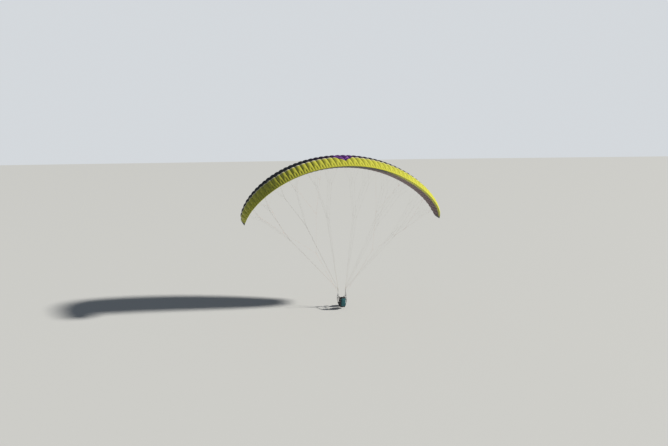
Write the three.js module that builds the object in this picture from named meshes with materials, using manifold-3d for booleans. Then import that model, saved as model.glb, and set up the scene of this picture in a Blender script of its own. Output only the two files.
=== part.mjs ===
// Tandem paraglider in flight: inflated wing, suspension lines, risers, spreader bars and two harnesses.
// Millimetres. +Y is the flight direction, +X is the flyers' right, +Z is up.
// The origin is on the chord of the centre rib, straight above the main carabiners.
import * as THREE from 'three';
import { mergeVertices } from 'three/addons/utils/BufferGeometryUtils.js';
import Module from 'manifold-3d';

const wasm = await Module();
wasm.setup();

// Wing plan and arc
const HALF_ARC = 7300;
const ROOT_CHORD = 3470;
const TIP_CHORD_SHARE = 0.288;
const CHORD_POWER = 2.72;
const TIP_TILT = THREE.MathUtils.degToRad(54.8);
const TILT_POWER = 1.06;
const TIP_HOOK = THREE.MathUtils.degToRad(27.9); // the last cells hook further down
const HOOK_POWER = 8;
const STRAIGHT_SHARE = 0.524; // this share of the root chord lies in one plane across the wing
const SWEEP = 0.198; // and at the tips this much less, which sweeps them back
const HANG_SHARE = 0.3; // this share of the root chord is straight above the carabiners
const TIP_TWIST = THREE.MathUtils.degToRad(5.7); // the tips' trailing edges pull in about TWIST_AT
const TWIST_AT = 0.4;
const INCIDENCE = THREE.MathUtils.degToRad(3);

// Wing section
const THICKNESS = 0.187;
const CAMBER = 0.032;
const CAMBER_AT = 0.3;
const TRAILING_EDGE = 8;
const CHORD_STATIONS = [0.006, 0.025, 0.055, 0.09, 0.16, 0.28, 0.4, 0.53, 0.68, 0.84, 1];

// Cells and canopy sections
const SWELL = 0.14; // how far a cell stands out between its ribs, as a share of its width
const NOSE_SWELL = 0.6;
const TAIL_SWELL = 0.3;
const CELLS_A_SIDE = 25;
const CELL_TAPER = 0.12;
const FLAT_CELLS_FROM = 23; // the section thins out from this rib to the tip
const TIP_THINNING = 0.97;
// name, first rib, last rib
const SECTIONS = [
  ['canopy_1', 0, 5],
  ['canopy_2', 5, 10],
  ['canopy_3', 10, 15],
  ['canopy_4', 15, 20],
  ['canopy_5', 20, 23],
  ['tip', 23, 25],
];

// Gaps and small sizes
const SEAT = 0.3; // what touches keeps this gap
const TAB_GAP = 0.9;
const TAB = { width: 12, thick: 4, length: 28, hold: 5 };
const KNOT = 6;
const WELD = 0.05;

// Lines. The shares are how far down from the wing to the riser the lines join.
const MAIN_RADIUS = 1.5;
const MAIN_STEP = 4.2; // the main lines sit side by side in their collar
const UPPER_RADIUS = 1.2;
const LINE_SIDES = 4;
const LINE_RIBS = [2, 6, 10, 14, 18, 22];
const BRAKE_RIBS = [5, 11, 17, 21];
const BRAKE_TAB_SHARE = 0.985;
const KNEE_SHARE = 0.4;
const BRAKE_KNEE_SHARE = 0.3;
const BRAKE_HEAD_SHARE = 0.4;
const COLLAR = { radius: 8, height: 14 };

// Risers, carabiners and spreader bars
const HANG_X = 240;
const HANG_Z = -8300; // the middle of the main carabiners' lower bars
const CARABINER = {
  width: 62, height: 112, wire: 11, depth: 10, bevel: 2.5, corner: 19,
};
const HARNESS_CARABINER = {
  width: 52, height: 92, wire: 10, depth: 9, bevel: 2.2, corner: 17,
};
const STRAP = { width: 20, thick: 3 };
const LOOP = { width: 18, height: 46, depth: 26, thick: 4 };
const LOOP_PLAY = 2.8; // how far a loaded loop sits off the middle of the bar it goes round
const HARNESS_LOOP_PLAY = 0.5; // and further, on the thinner harness carabiners
const RISER_TOP = 250; // from the riser's loop to its quick link
const LINK = { width: 30, height: 34, wire: 5 };
// name, offset of the quick link along Y, offset of the strap along X outwards, chord share
const RISERS = [
  ['a', 70, -3.3, 0.09],
  ['b', 0, 0, 0.28],
  ['c', -80, 3.3, 0.53],
];
const SPREADER = {
  reach: 280, drop: 85, thick: 8, centre: 24, end: 21, hole: 8.2, endHole: 7.7,
};
// The other hanging places on each arm, as shares of the way from the main hole to the end hole
const SPARE_HOLES = { passenger: [0.58, 0.79], pilot: [0.79] };
const MAIN_HOLE_Y = 0;

// Brakes
const PULLEY = { x: 18, y: -92, z: 165, width: 16, depth: 24, height: 34 };
const HANDLE = { width: 110, height: 120, bar: 16, thick: 14, stub: 30, stubRadius: 2 };

// Harnesses, each from its own carabiner axis
// The seat's rear edge is set so that each empty harness hangs level.
const PILOT = {
  name: 'pilot', width: 370, rear: -50, deep: 325, top: -470, seat: 40, under: 105, back: 590,
};
const PASSENGER = {
  name: 'passenger', width: 350, rear: -120.5, deep: 350, top: -500, seat: 40, under: 128, back: 520,
};
const SIDE = { thick: 14, rim: 4, corner: 14 };
// distance from the seat's rear edge as a share of its depth, height of the sides over the seat
const SIDE_HEIGHTS = [
  [0, 170],
  [0.27, 140],
  [0.57, 82],
  [0.78, 24],
  [0.9, 7],
  [0.96, 5],
];
const SEAT_NOSE = { drop: 9, rise: 8, draw: 8 };
const BACK = { thick: 30, lean: THREE.MathUtils.degToRad(10), bevel: 7, shoulder: 158 };
const CONTAINER = { depth: 130, low: 30, wall: 7, vent: 6, corner: 62 };
// depth as a share of the whole, how far the outline draws in
const CONTAINER_STOPS = [
  [0, 16],
  [0.1, 2],
  [0.3, 0],
  [0.62, 6],
  [0.87, 30],
  [1, 66],
];
const UNDER_STOPS = [
  [0, 7],
  [0.12, 0],
  [0.5, 3],
  [0.82, 16],
  [1, 46],
];
const RESERVE_DEEP = 170;
const WEBBING = { width: 26, thick: 4 };
const LEG_STRAP = { width: 18, thick: 3, foot: 60 };

const finishes = {
  upper: { color: 0xb9bd3c, roughness: 0.5, metalness: 0 },
  line: { color: 0xb8a58a, roughness: 0.8, metalness: 0 },
  brakeLine: { color: 0xc9572e, roughness: 0.8, metalness: 0 },
  webbing: { color: 0x17181c, roughness: 0.9, metalness: 0 },
  black: { color: 0x141518, roughness: 0.85, metalness: 0 },
  teal: { color: 0x1f4a50, roughness: 0.75, metalness: 0 },
  steel: { color: 0x9a9da1, roughness: 0.3, metalness: 1 },
  alloy: { color: 0x6c7076, roughness: 0.4, metalness: 1 },
  plastic: { color: 0x22242a, roughness: 0.6, metalness: 0 },
};

const vec = (x, y, z) => new THREE.Vector3(x, y, z);

// Solids

function bare(geometry) {
  const plain = geometry.clone();
  plain.deleteAttribute('normal');
  plain.deleteAttribute('uv');
  return mergeVertices(plain, 1e-3);
}

function solidOf(geometry) {
  const plain = bare(geometry);
  return new wasm.Manifold(new wasm.Mesh({
    numProp: 3,
    vertProperties: new Float32Array(plain.attributes.position.array),
    triVerts: new Uint32Array(plain.index.array),
  }));
}

// The mesh of a solid, with corners that lie closer than WELD made one and the faces lost by that left out
function geometryOf(solid) {
  const mesh = solid.getMesh();
  const points = [];
  for (let n = 0; n < mesh.vertProperties.length; n += 3) {
    points.push(vec(...mesh.vertProperties.slice(n, n + 3)));
  }
  const kept = points.map((point, n) => {
    const first = points.findIndex((other) => other.distanceTo(point) < WELD);
    return Math.min(first, n);
  });
  const faces = [];
  for (let n = 0; n < mesh.triVerts.length; n += 3) {
    const [a, b, c] = [0, 1, 2].map((k) => kept[mesh.triVerts[n + k]]);
    if (a !== b && b !== c && c !== a) {
      faces.push(a, b, c);
    }
  }
  const geometry = new THREE.BufferGeometry();
  geometry.setAttribute('position', new THREE.Float32BufferAttribute(points.flatMap((q) => q.toArray()), 3));
  geometry.setIndex(faces);
  geometry.computeVertexNormals();
  return geometry;
}

function join(...geometries) {
  return geometryOf(geometries.map(solidOf).reduce((whole, piece) => whole.add(piece)));
}

function cut(geometry, ...tools) {
  return geometryOf(tools.map(solidOf).reduce((rest, tool) => rest.subtract(tool), solidOf(geometry)));
}

// A closed body through rings of points. Each end is closed by pairs of points counted from both ends.
function loft(rings) {
  const count = rings[0].length;
  const points = rings.flat().flatMap((p) => [p.x, p.y, p.z]);
  const faces = [];
  const quad = (a, b, c, d) => faces.push(a, b, c, a, c, d);
  for (let i = 0; i < rings.length - 1; i += 1) {
    for (let j = 0; j < count; j += 1) {
      const k = (j + 1) % count;
      quad(i * count + j, (i + 1) * count + j, (i + 1) * count + k, i * count + k);
    }
  }
  const cap = (start, turn) => {
    let low = 0;
    let high = count - 1;
    while (high - low > 1) {
      const next = high - low > 2;
      const face = next ? [low, low + 1, high - 1, high] : [low, low + 1, high];
      const order = turn ? face.reverse() : face;
      order.slice(2).forEach((_, n) => {
        faces.push(start + order[0], start + order[n + 1], start + order[n + 2]);
      });
      low += 1;
      high -= 1;
    }
  };
  cap(0, false);
  cap((rings.length - 1) * count, true);
  const geometry = new THREE.BufferGeometry();
  geometry.setAttribute('position', new THREE.Float32BufferAttribute(points, 3));
  geometry.setIndex(faces);
  return outward(geometry);
}

// Turns every face over where the body came out inside out
function outward(geometry) {
  const p = geometry.attributes.position;
  const index = geometry.index.array;
  let volume = 0;
  const corner = (n) => vec(p.getX(index[n]), p.getY(index[n]), p.getZ(index[n]));
  for (let n = 0; n < index.length; n += 3) {
    volume += corner(n).dot(corner(n + 1).cross(corner(n + 2)));
  }
  if (volume < 0) {
    for (let n = 0; n < index.length; n += 3) {
      const held = index[n];
      index[n] = index[n + 1];
      index[n + 1] = held;
    }
  }
  geometry.computeVertexNormals();
  return geometry;
}

// Corners of a rounded rectangle in the X-Y plane
function roundedOutline(width, length, corner) {
  return [[1, 1], [-1, 1], [-1, -1], [1, -1]].flatMap(([x, y], quarter) => [0, 1, 2, 3].map((step) => {
    const turn = ((quarter + step / 3) * Math.PI) / 2;
    return [x * (width / 2 - corner) + corner * Math.cos(turn), y * (length / 2 - corner) + corner * Math.sin(turn)];
  }));
}

// A soft body on a rounded rectangle. Each stop has a share of the height and how far the outline draws in.
function domed(width, length, corner, height, stops, wall = 0) {
  return loft(stops.map(([share, inset]) => {
    const drawn = inset + wall;
    const outline = roundedOutline(width - 2 * drawn, length - 2 * drawn, Math.max(corner - drawn * 0.6, 6));
    const level = height * share + Math.sign(height) * wall * (1 - 2 * share);
    return outline.map(([x, y]) => vec(x, y, level));
  }));
}

function mirrored(geometry) {
  const copy = geometry.index ? geometry.clone() : bare(geometry);
  copy.scale(-1, 1, 1);
  return outward(copy);
}

function box(low, high) {
  const size = high.clone().sub(low);
  const middle = low.clone().add(high).multiplyScalar(0.5);
  return new THREE.BoxGeometry(size.x, size.y, size.z).translate(middle.x, middle.y, middle.z);
}

function rod(from, to, radius, sides = LINE_SIDES) {
  const along = to.clone().sub(from);
  const geometry = new THREE.CylinderGeometry(radius, radius, along.length(), sides);
  geometry.applyQuaternion(new THREE.Quaternion().setFromUnitVectors(vec(0, 1, 0), along.clone().normalize()));
  const middle = from.clone().add(to).multiplyScalar(0.5);
  return geometry.translate(middle.x, middle.y, middle.z);
}

function knot(at, radius = KNOT) {
  return new THREE.OctahedronGeometry(radius).translate(at.x, at.y, at.z);
}

// A flat strap along points, each with the direction of its width
function strap(stops, width, thick) {
  const rings = stops.map(([at, across], n) => {
    const before = stops[Math.max(n - 1, 0)][0];
    const after = stops[Math.min(n + 1, stops.length - 1)][0];
    const along = after.clone().sub(before).normalize();
    const wide = across.clone().sub(along.clone().multiplyScalar(across.dot(along))).normalize();
    const deep = along.clone().cross(wide);
    const corner = (w, d) => at.clone()
      .add(wide.clone().multiplyScalar((w * width) / 2))
      .add(deep.clone().multiplyScalar((d * thick) / 2));
    return [corner(-1, -1), corner(1, -1), corner(1, 1), corner(-1, 1)];
  });
  return loft(rings);
}

function roundedShape(width, height, radius) {
  const x = width / 2;
  const y = height / 2;
  const shape = new THREE.Shape();
  shape.moveTo(-x + radius, -y);
  shape.lineTo(x - radius, -y);
  shape.absarc(x - radius, -y + radius, radius, -Math.PI / 2, 0);
  shape.lineTo(x, y - radius);
  shape.absarc(x - radius, y - radius, radius, 0, Math.PI / 2);
  shape.lineTo(-x + radius, y);
  shape.absarc(-x + radius, y - radius, radius, Math.PI / 2, Math.PI);
  shape.lineTo(-x, -y + radius);
  shape.absarc(-x + radius, -y + radius, radius, Math.PI, Math.PI * 1.5);
  return shape;
}

// A closed ring of bar standing in the X-Z plane, centred on the origin
function ringInXZ({
  width, height, wire, depth, bevel, corner,
}) {
  const inner = 2 * (wire - bevel);
  const shape = roundedShape(width - 2 * bevel, height - 2 * bevel, corner - bevel);
  shape.holes.push(roundedShape(width - inner, height - inner, corner - wire + bevel));
  const geometry = new THREE.ExtrudeGeometry(shape, {
    depth: depth - 2 * bevel,
    bevelEnabled: true,
    bevelThickness: bevel,
    bevelSize: bevel,
    bevelSegments: 1,
    curveSegments: 2,
  });
  return geometry.translate(0, 0, -(depth - 2 * bevel) / 2).rotateX(Math.PI / 2);
}

// A band sewn round a bar that runs along X: its bar's middle is at the origin and it opens upwards
function loopBand(height, up = 1) {
  const corner = LOOP.depth / 2 - 1;
  const shape = roundedShape(LOOP.depth, height, corner);
  shape.holes.push(roundedShape(LOOP.depth - 2 * LOOP.thick, height - 2 * LOOP.thick, corner - LOOP.thick));
  const geometry = new THREE.ExtrudeGeometry(shape, { depth: LOOP.width, bevelEnabled: false, curveSegments: 3 });
  geometry.translate(0, 0, -LOOP.width / 2).rotateX(Math.PI / 2).rotateZ(Math.PI / 2);
  return geometry.translate(0, 0, up * (height / 2 - LOOP.depth / 2));
}

// Wing geometry

const ribAt = (rib) => {
  const t = rib / CELLS_A_SIDE;
  return t * (1 + CELL_TAPER - CELL_TAPER * t);
};

const tiltAt = (u) => TIP_TILT * u ** TILT_POWER + TIP_HOOK * u ** HOOK_POWER;

function arcPoint(u) {
  const steps = 40;
  let x = 0;
  let z = 0;
  for (let n = 0; n < steps; n += 1) {
    const tilt = tiltAt((u * (n + 0.5)) / steps);
    x += (Math.cos(tilt) * HALF_ARC * u) / steps;
    z -= (Math.sin(tilt) * HALF_ARC * u) / steps;
  }
  return { x, z };
}

const chordAt = (u) => ROOT_CHORD * Math.sqrt(1 - (1 - TIP_CHORD_SHARE ** 2) * u ** CHORD_POWER);

function fullnessAt(u) {
  const from = ribAt(FLAT_CELLS_FROM);
  const past = Math.max(0, (u - from) / (1 - from));
  return Math.sqrt(1 - TIP_THINNING * past * past);
}

// Heights of the section over its chord, as a share of the chord
function sectionAt(share) {
  const half = 5 * THICKNESS * (0.2969 * Math.sqrt(share) - 0.126 * share - 0.3516 * share ** 2
    + 0.2843 * share ** 3 - 0.1036 * share ** 4);
  const line = share < CAMBER_AT
    ? (CAMBER / CAMBER_AT ** 2) * (2 * CAMBER_AT * share - share ** 2)
    : (CAMBER / (1 - CAMBER_AT) ** 2) * (1 - 2 * CAMBER_AT + 2 * CAMBER_AT * share - share ** 2);
  return { half, line };
}

// A point of the section's outline: its place along Y and its height over the chord.
// side is +1 on the upper surface and -1 on the lower one.
function outlineAt(u, share, side) {
  const chord = chordAt(u);
  const { half, line } = sectionAt(share);
  const height = (line + side * half) * chord * fullnessAt(u) + (side * share * TRAILING_EDGE) / 2
    - TIP_TWIST * u * u * (share - TWIST_AT) * chord;
  const y = (STRAIGHT_SHARE - SWEEP * u ** 3 - share) * chord - (STRAIGHT_SHARE - HANG_SHARE) * ROOT_CHORD;
  return { y, height };
}

// The same point in space, on the right half of the wing
function inSpace(u, { y, height }) {
  const tilt = tiltAt(u);
  const arc = arcPoint(u);
  const point = vec(arc.x + Math.sin(tilt) * height, y, arc.z + Math.cos(tilt) * height);
  return point.applyAxisAngle(vec(1, 0, 0), INCIDENCE);
}

const wingPoint = (u, share, side) => inSpace(u, outlineAt(u, share, side));

const { smoothstep } = THREE.MathUtils;

const swellAt = (share) => THREE.MathUtils.lerp(NOSE_SWELL, 1, smoothstep(share, 0, 0.07))
  * THREE.MathUtils.lerp(1, TAIL_SWELL, smoothstep(share, 0.72, 1));

// The outline of the wing at u, from the trailing edge over the nose and back, swollen by lift
function ribRing(u, lift = 0) {
  const stops = [
    ...[...CHORD_STATIONS].reverse().map((share) => [share, 1]),
    [0, 0],
    ...CHORD_STATIONS.map((share) => [share, -1]),
  ];
  const outline = stops.map(([share, side]) => outlineAt(u, share, side));
  return outline.map(({ y, height }, n) => {
    const before = outline[Math.max(n - 1, 0)];
    const after = outline[Math.min(n + 1, outline.length - 1)];
    const along = new THREE.Vector2(after.y - before.y, after.height - before.height).normalize();
    const out = lift * swellAt(stops[n][0]);
    return inSpace(u, { y: y - along.y * out, height: height + along.x * out });
  });
}

function canopySection(first, last) {
  const gap = SEAT / 2 / HALF_ARC;
  const rings = [];
  for (let rib = first; rib <= last; rib += 1) {
    const ends = rib === first ? gap : 0;
    const trims = rib === last && last < CELLS_A_SIDE ? -gap : 0;
    rings.push(ribRing(ribAt(rib) + ends + trims));
    if (rib < last) {
      const middle = ribAt(rib + 0.5);
      const width = HALF_ARC * (ribAt(rib + 1) - ribAt(rib));
      rings.push(ribRing(middle, SWELL * width * fullnessAt(middle)));
    }
  }
  return loft(rings);
}

// Lines

// The sewn tab under a rib: a small flat loop with its top edge along the surface
function lineTab(rib, share) {
  const u = ribAt(rib);
  const at = wingPoint(u, share, -1);
  const ahead = wingPoint(u, share - 0.012, -1);
  const along = ahead.sub(wingPoint(u, Math.min(share + 0.012, 1), -1)).normalize();
  const span = vec(Math.cos(tiltAt(u)), 0, -Math.sin(tiltAt(u))).applyAxisAngle(vec(1, 0, 0), INCIDENCE);
  const down = along.clone().cross(span).normalize();
  if (down.z > 0) {
    down.negate();
  }
  const top = at.clone().add(down.clone().multiplyScalar(TAB_GAP));
  const end = at.clone().add(down.clone().multiplyScalar(TAB_GAP + TAB.length));
  const hold = end.clone().sub(down.multiplyScalar(TAB.hold));
  return { body: strap([[top, along], [end, along]], TAB.width, TAB.thick), end, hold };
}

const mean = (points) => points.reduce((sum, p) => sum.add(p), vec(0, 0, 0)).divideScalar(points.length);

const inPairs = (list) => list.filter((_, n) => n % 2 === 0).map((item, n) => [item, list[2 * n + 1]]);

const outer = (solids) => geometryOf(solids.reduce((whole, piece) => whole.add(piece)));

// Pairs of upper lines from the wing's tabs, each pair joined by a knot part of the way down to the foot
function pairedLines(ribs, share, foot, kneeShare, radius) {
  const tabs = ribs.map((rib) => lineTab(rib, share));
  const knees = inPairs(tabs).map((pair) => ({
    at: mean(pair.map((tab) => tab.end)).lerp(foot, kneeShare),
    pair,
  }));
  const solids = tabs.map((tab) => solidOf(tab.body));
  knees.forEach(({ at, pair }) => {
    solids.push(solidOf(knot(at)));
    pair.forEach((tab) => solids.push(solidOf(rod(at, tab.hold, radius))));
  });
  return { solids, knees: knees.map((knee) => knee.at) };
}

// One row of lines on one half of the wing, with its main lines gathered in a collar on the quick link
function lineRow(share, foot) {
  const { solids, knees } = pairedLines(LINE_RIBS, share, foot, KNEE_SHARE, UPPER_RADIUS);
  knees.forEach((knee, n) => {
    const start = foot.clone().add(vec(0, (n - 1) * MAIN_STEP, 0));
    solids.push(solidOf(rod(start, knee, MAIN_RADIUS)));
  });
  const collar = new THREE.CylinderGeometry(COLLAR.radius, COLLAR.radius, COLLAR.height, 6);
  collar.rotateX(Math.PI / 2).translate(foot.x, foot.y, foot.z);
  solids.push(solidOf(collar));
  return outer(solids);
}

// The brake lines of one half of the wing, from the trailing edge to the head of the brake main line
function brakeRow(pulleyTop) {
  const { solids, knees } = pairedLines(BRAKE_RIBS, BRAKE_TAB_SHARE, pulleyTop, BRAKE_KNEE_SHARE, UPPER_RADIUS);
  const head = mean(knees.map((knee) => knee.clone())).lerp(pulleyTop, BRAKE_HEAD_SHARE);
  knees.forEach((knee) => solids.push(solidOf(rod(head, knee, UPPER_RADIUS))));
  solids.push(solidOf(knot(head)));
  return { tree: outer(solids), head };
}

// Risers, all on the right-hand side

const ringTop = HANG_Z + CARABINER.height - CARABINER.wire; // middle of the main carabiner's upper bar
const loopTop = ringTop + LOOP_PLAY + LOOP.height - LOOP.depth / 2;

function riser(name, ahead, outwards) {
  const x = HANG_X + outwards;
  const foot = vec(x, 0, name === 'b' ? loopTop - 1 : loopTop + SEAT + STRAP.thick);
  const top = vec(x, ahead, loopTop + RISER_TOP);
  const lean = top.clone().sub(foot).normalize();
  const flat = vec(0, 1, 0);
  const pieces = [strap([[foot, flat], [foot.clone().lerp(top, 0.5), flat], [top, flat]], STRAP.width, STRAP.thick)];
  const link = new THREE.Shape();
  link.moveTo(-LINK.width / 2, 0);
  link.lineTo(LINK.width / 2, 0);
  link.lineTo(LINK.width / 3.4, LINK.height);
  link.lineTo(-LINK.width / 3.4, LINK.height);
  const gap = new THREE.Path();
  gap.moveTo(-LINK.width / 2 + LINK.wire * 1.3, LINK.wire);
  gap.lineTo(LINK.width / 2 - LINK.wire * 1.3, LINK.wire);
  gap.lineTo(LINK.width / 3.4 - LINK.wire * 1.1, LINK.height - LINK.wire);
  gap.lineTo(-LINK.width / 3.4 + LINK.wire * 1.1, LINK.height - LINK.wire);
  link.holes.push(gap);
  const maillon = new THREE.ExtrudeGeometry(link, { depth: LINK.wire, bevelEnabled: false });
  maillon.translate(0, -LINK.wire, -LINK.wire / 2).rotateX(Math.PI / 2).rotateZ(Math.PI / 2);
  maillon.translate(top.x, top.y, top.z);
  pieces.push(maillon);
  if (name === 'b') {
    pieces.push(loopBand(LOOP.height).translate(HANG_X, 0, ringTop + LOOP_PLAY));
  }
  const linkTop = top.z + LINK.height - LINK.wire;
  return { body: join(...pieces), lean, foot: vec(top.x, top.y, linkTop + SEAT + COLLAR.height / 2) };
}

const pulleyAt = vec(HANG_X + PULLEY.x, PULLEY.y, HANG_Z + PULLEY.z);

function brakePulley(riserFace) {
  const half = vec(PULLEY.width, PULLEY.depth, PULLEY.height).multiplyScalar(0.5);
  const housing = box(pulleyAt.clone().sub(half), pulleyAt.clone().add(half));
  const tab = box(
    vec(riserFace + SEAT, pulleyAt.y - 8, pulleyAt.z - 6),
    vec(pulleyAt.x - 4, -20, pulleyAt.z + 6),
  );
  return join(housing, tab);
}

function brakeHandle() {
  const top = pulleyAt.z - PULLEY.height / 2 - SEAT;
  const outline = roundedShape(HANDLE.width, HANDLE.height, 30);
  outline.holes.push(roundedShape(HANDLE.width - 2 * HANDLE.bar, HANDLE.height - 2 * HANDLE.bar, 16));
  const loop = new THREE.ExtrudeGeometry(outline, { depth: HANDLE.thick, bevelEnabled: false, curveSegments: 3 });
  loop.translate(0, 0, -HANDLE.thick / 2).rotateX(Math.PI / 2).rotateZ(Math.PI / 2);
  loop.translate(pulleyAt.x, pulleyAt.y, top - HANDLE.stub - HANDLE.height / 2 + 3);
  const foot = vec(pulleyAt.x, pulleyAt.y, top - HANDLE.stub);
  return join(loop, rod(vec(pulleyAt.x, pulleyAt.y, top), foot, HANDLE.stubRadius));
}

// Spreader bar plate in the Y-Z plane: the main hole at the apex and one hole at each end
const holeRise = SPREADER.hole - 6.4 - SEAT;

function spreaderBar() {
  const apex = vec(0, MAIN_HOLE_Y, HANG_Z - holeRise);
  const ends = [-SPREADER.reach, SPREADER.reach].map((y) => vec(0, y, HANG_Z - SPREADER.drop));
  const disc = (at, radius, depth) => new THREE.CylinderGeometry(radius, radius, depth, 14)
    .rotateZ(Math.PI / 2).translate(HANG_X, at.y, at.z);
  const arms = ends.map((end) => {
    const along = end.clone().sub(apex);
    const length = along.length();
    const arm = new THREE.Shape();
    arm.moveTo(0, -SPREADER.centre);
    arm.lineTo(length, -SPREADER.end);
    arm.lineTo(length, SPREADER.end);
    arm.lineTo(0, SPREADER.centre);
    const plate = new THREE.ExtrudeGeometry(arm, { depth: SPREADER.thick, bevelEnabled: false });
    plate.translate(0, 0, -SPREADER.thick / 2).rotateX(Math.PI / 2).rotateZ(Math.PI / 2);
    plate.rotateX(Math.atan2(along.z, along.y));
    return plate.translate(HANG_X, apex.y, apex.z);
  });
  const bosses = [
    disc(apex, SPREADER.centre, SPREADER.thick - 0.2),
    ...ends.map((end) => disc(end, SPREADER.end, SPREADER.thick - 0.2)),
  ];
  const spare = [SPARE_HOLES.pilot, SPARE_HOLES.passenger]
    .flatMap((shares, n) => shares.map((share) => apex.clone().lerp(ends[n], share)));
  const holes = [
    disc(apex, SPREADER.hole, SPREADER.thick * 3),
    ...[...ends, ...spare].map((at) => disc(at, SPREADER.endHole, SPREADER.thick * 3)),
  ];
  return cut(join(...arms, ...bosses), ...holes);
}

// Harnesses. Local frame: X across, Y ahead, Z up from the carabiners' upper bars.

// A seat that turns up at its sides, lofted from its rear edge to its front edge
function seatShell({
  width, rear, deep, top, seat,
}) {
  const inside = width / 2 - 2;
  const outside = inside + SIDE.thick;
  const ring = (y, high, { drop = 0, rise = 0, draw = 0 } = {}) => {
    const low = top - seat + rise;
    const flat = top - drop;
    const rim = flat + high;
    const out = outside - draw;
    const inn = inside - draw;
    const shell = [
      [out - 2, rim],
      [out, rim - SIDE.rim],
      [out, low + SIDE.corner],
      [out - 4, low + 4],
      [out - SIDE.corner, low],
    ];
    const lining = [
      [inn + 2, rim],
      [inn, rim - SIDE.rim],
      [inn, flat],
      [inn - 4, flat],
      [inn - SIDE.corner, flat],
    ];
    const across = (half) => [...half.map(([x, z]) => [-x, z]), ...[...half].reverse()];
    return [...across(shell), ...across(lining).reverse()].map(([x, z]) => vec(x, y, z));
  };
  const rings = SIDE_HEIGHTS.map(([share, high]) => ring(rear + share * deep, high));
  return loft([...rings, ring(rear + deep, SIDE.rim + 1, SEAT_NOSE)]);
}

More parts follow.
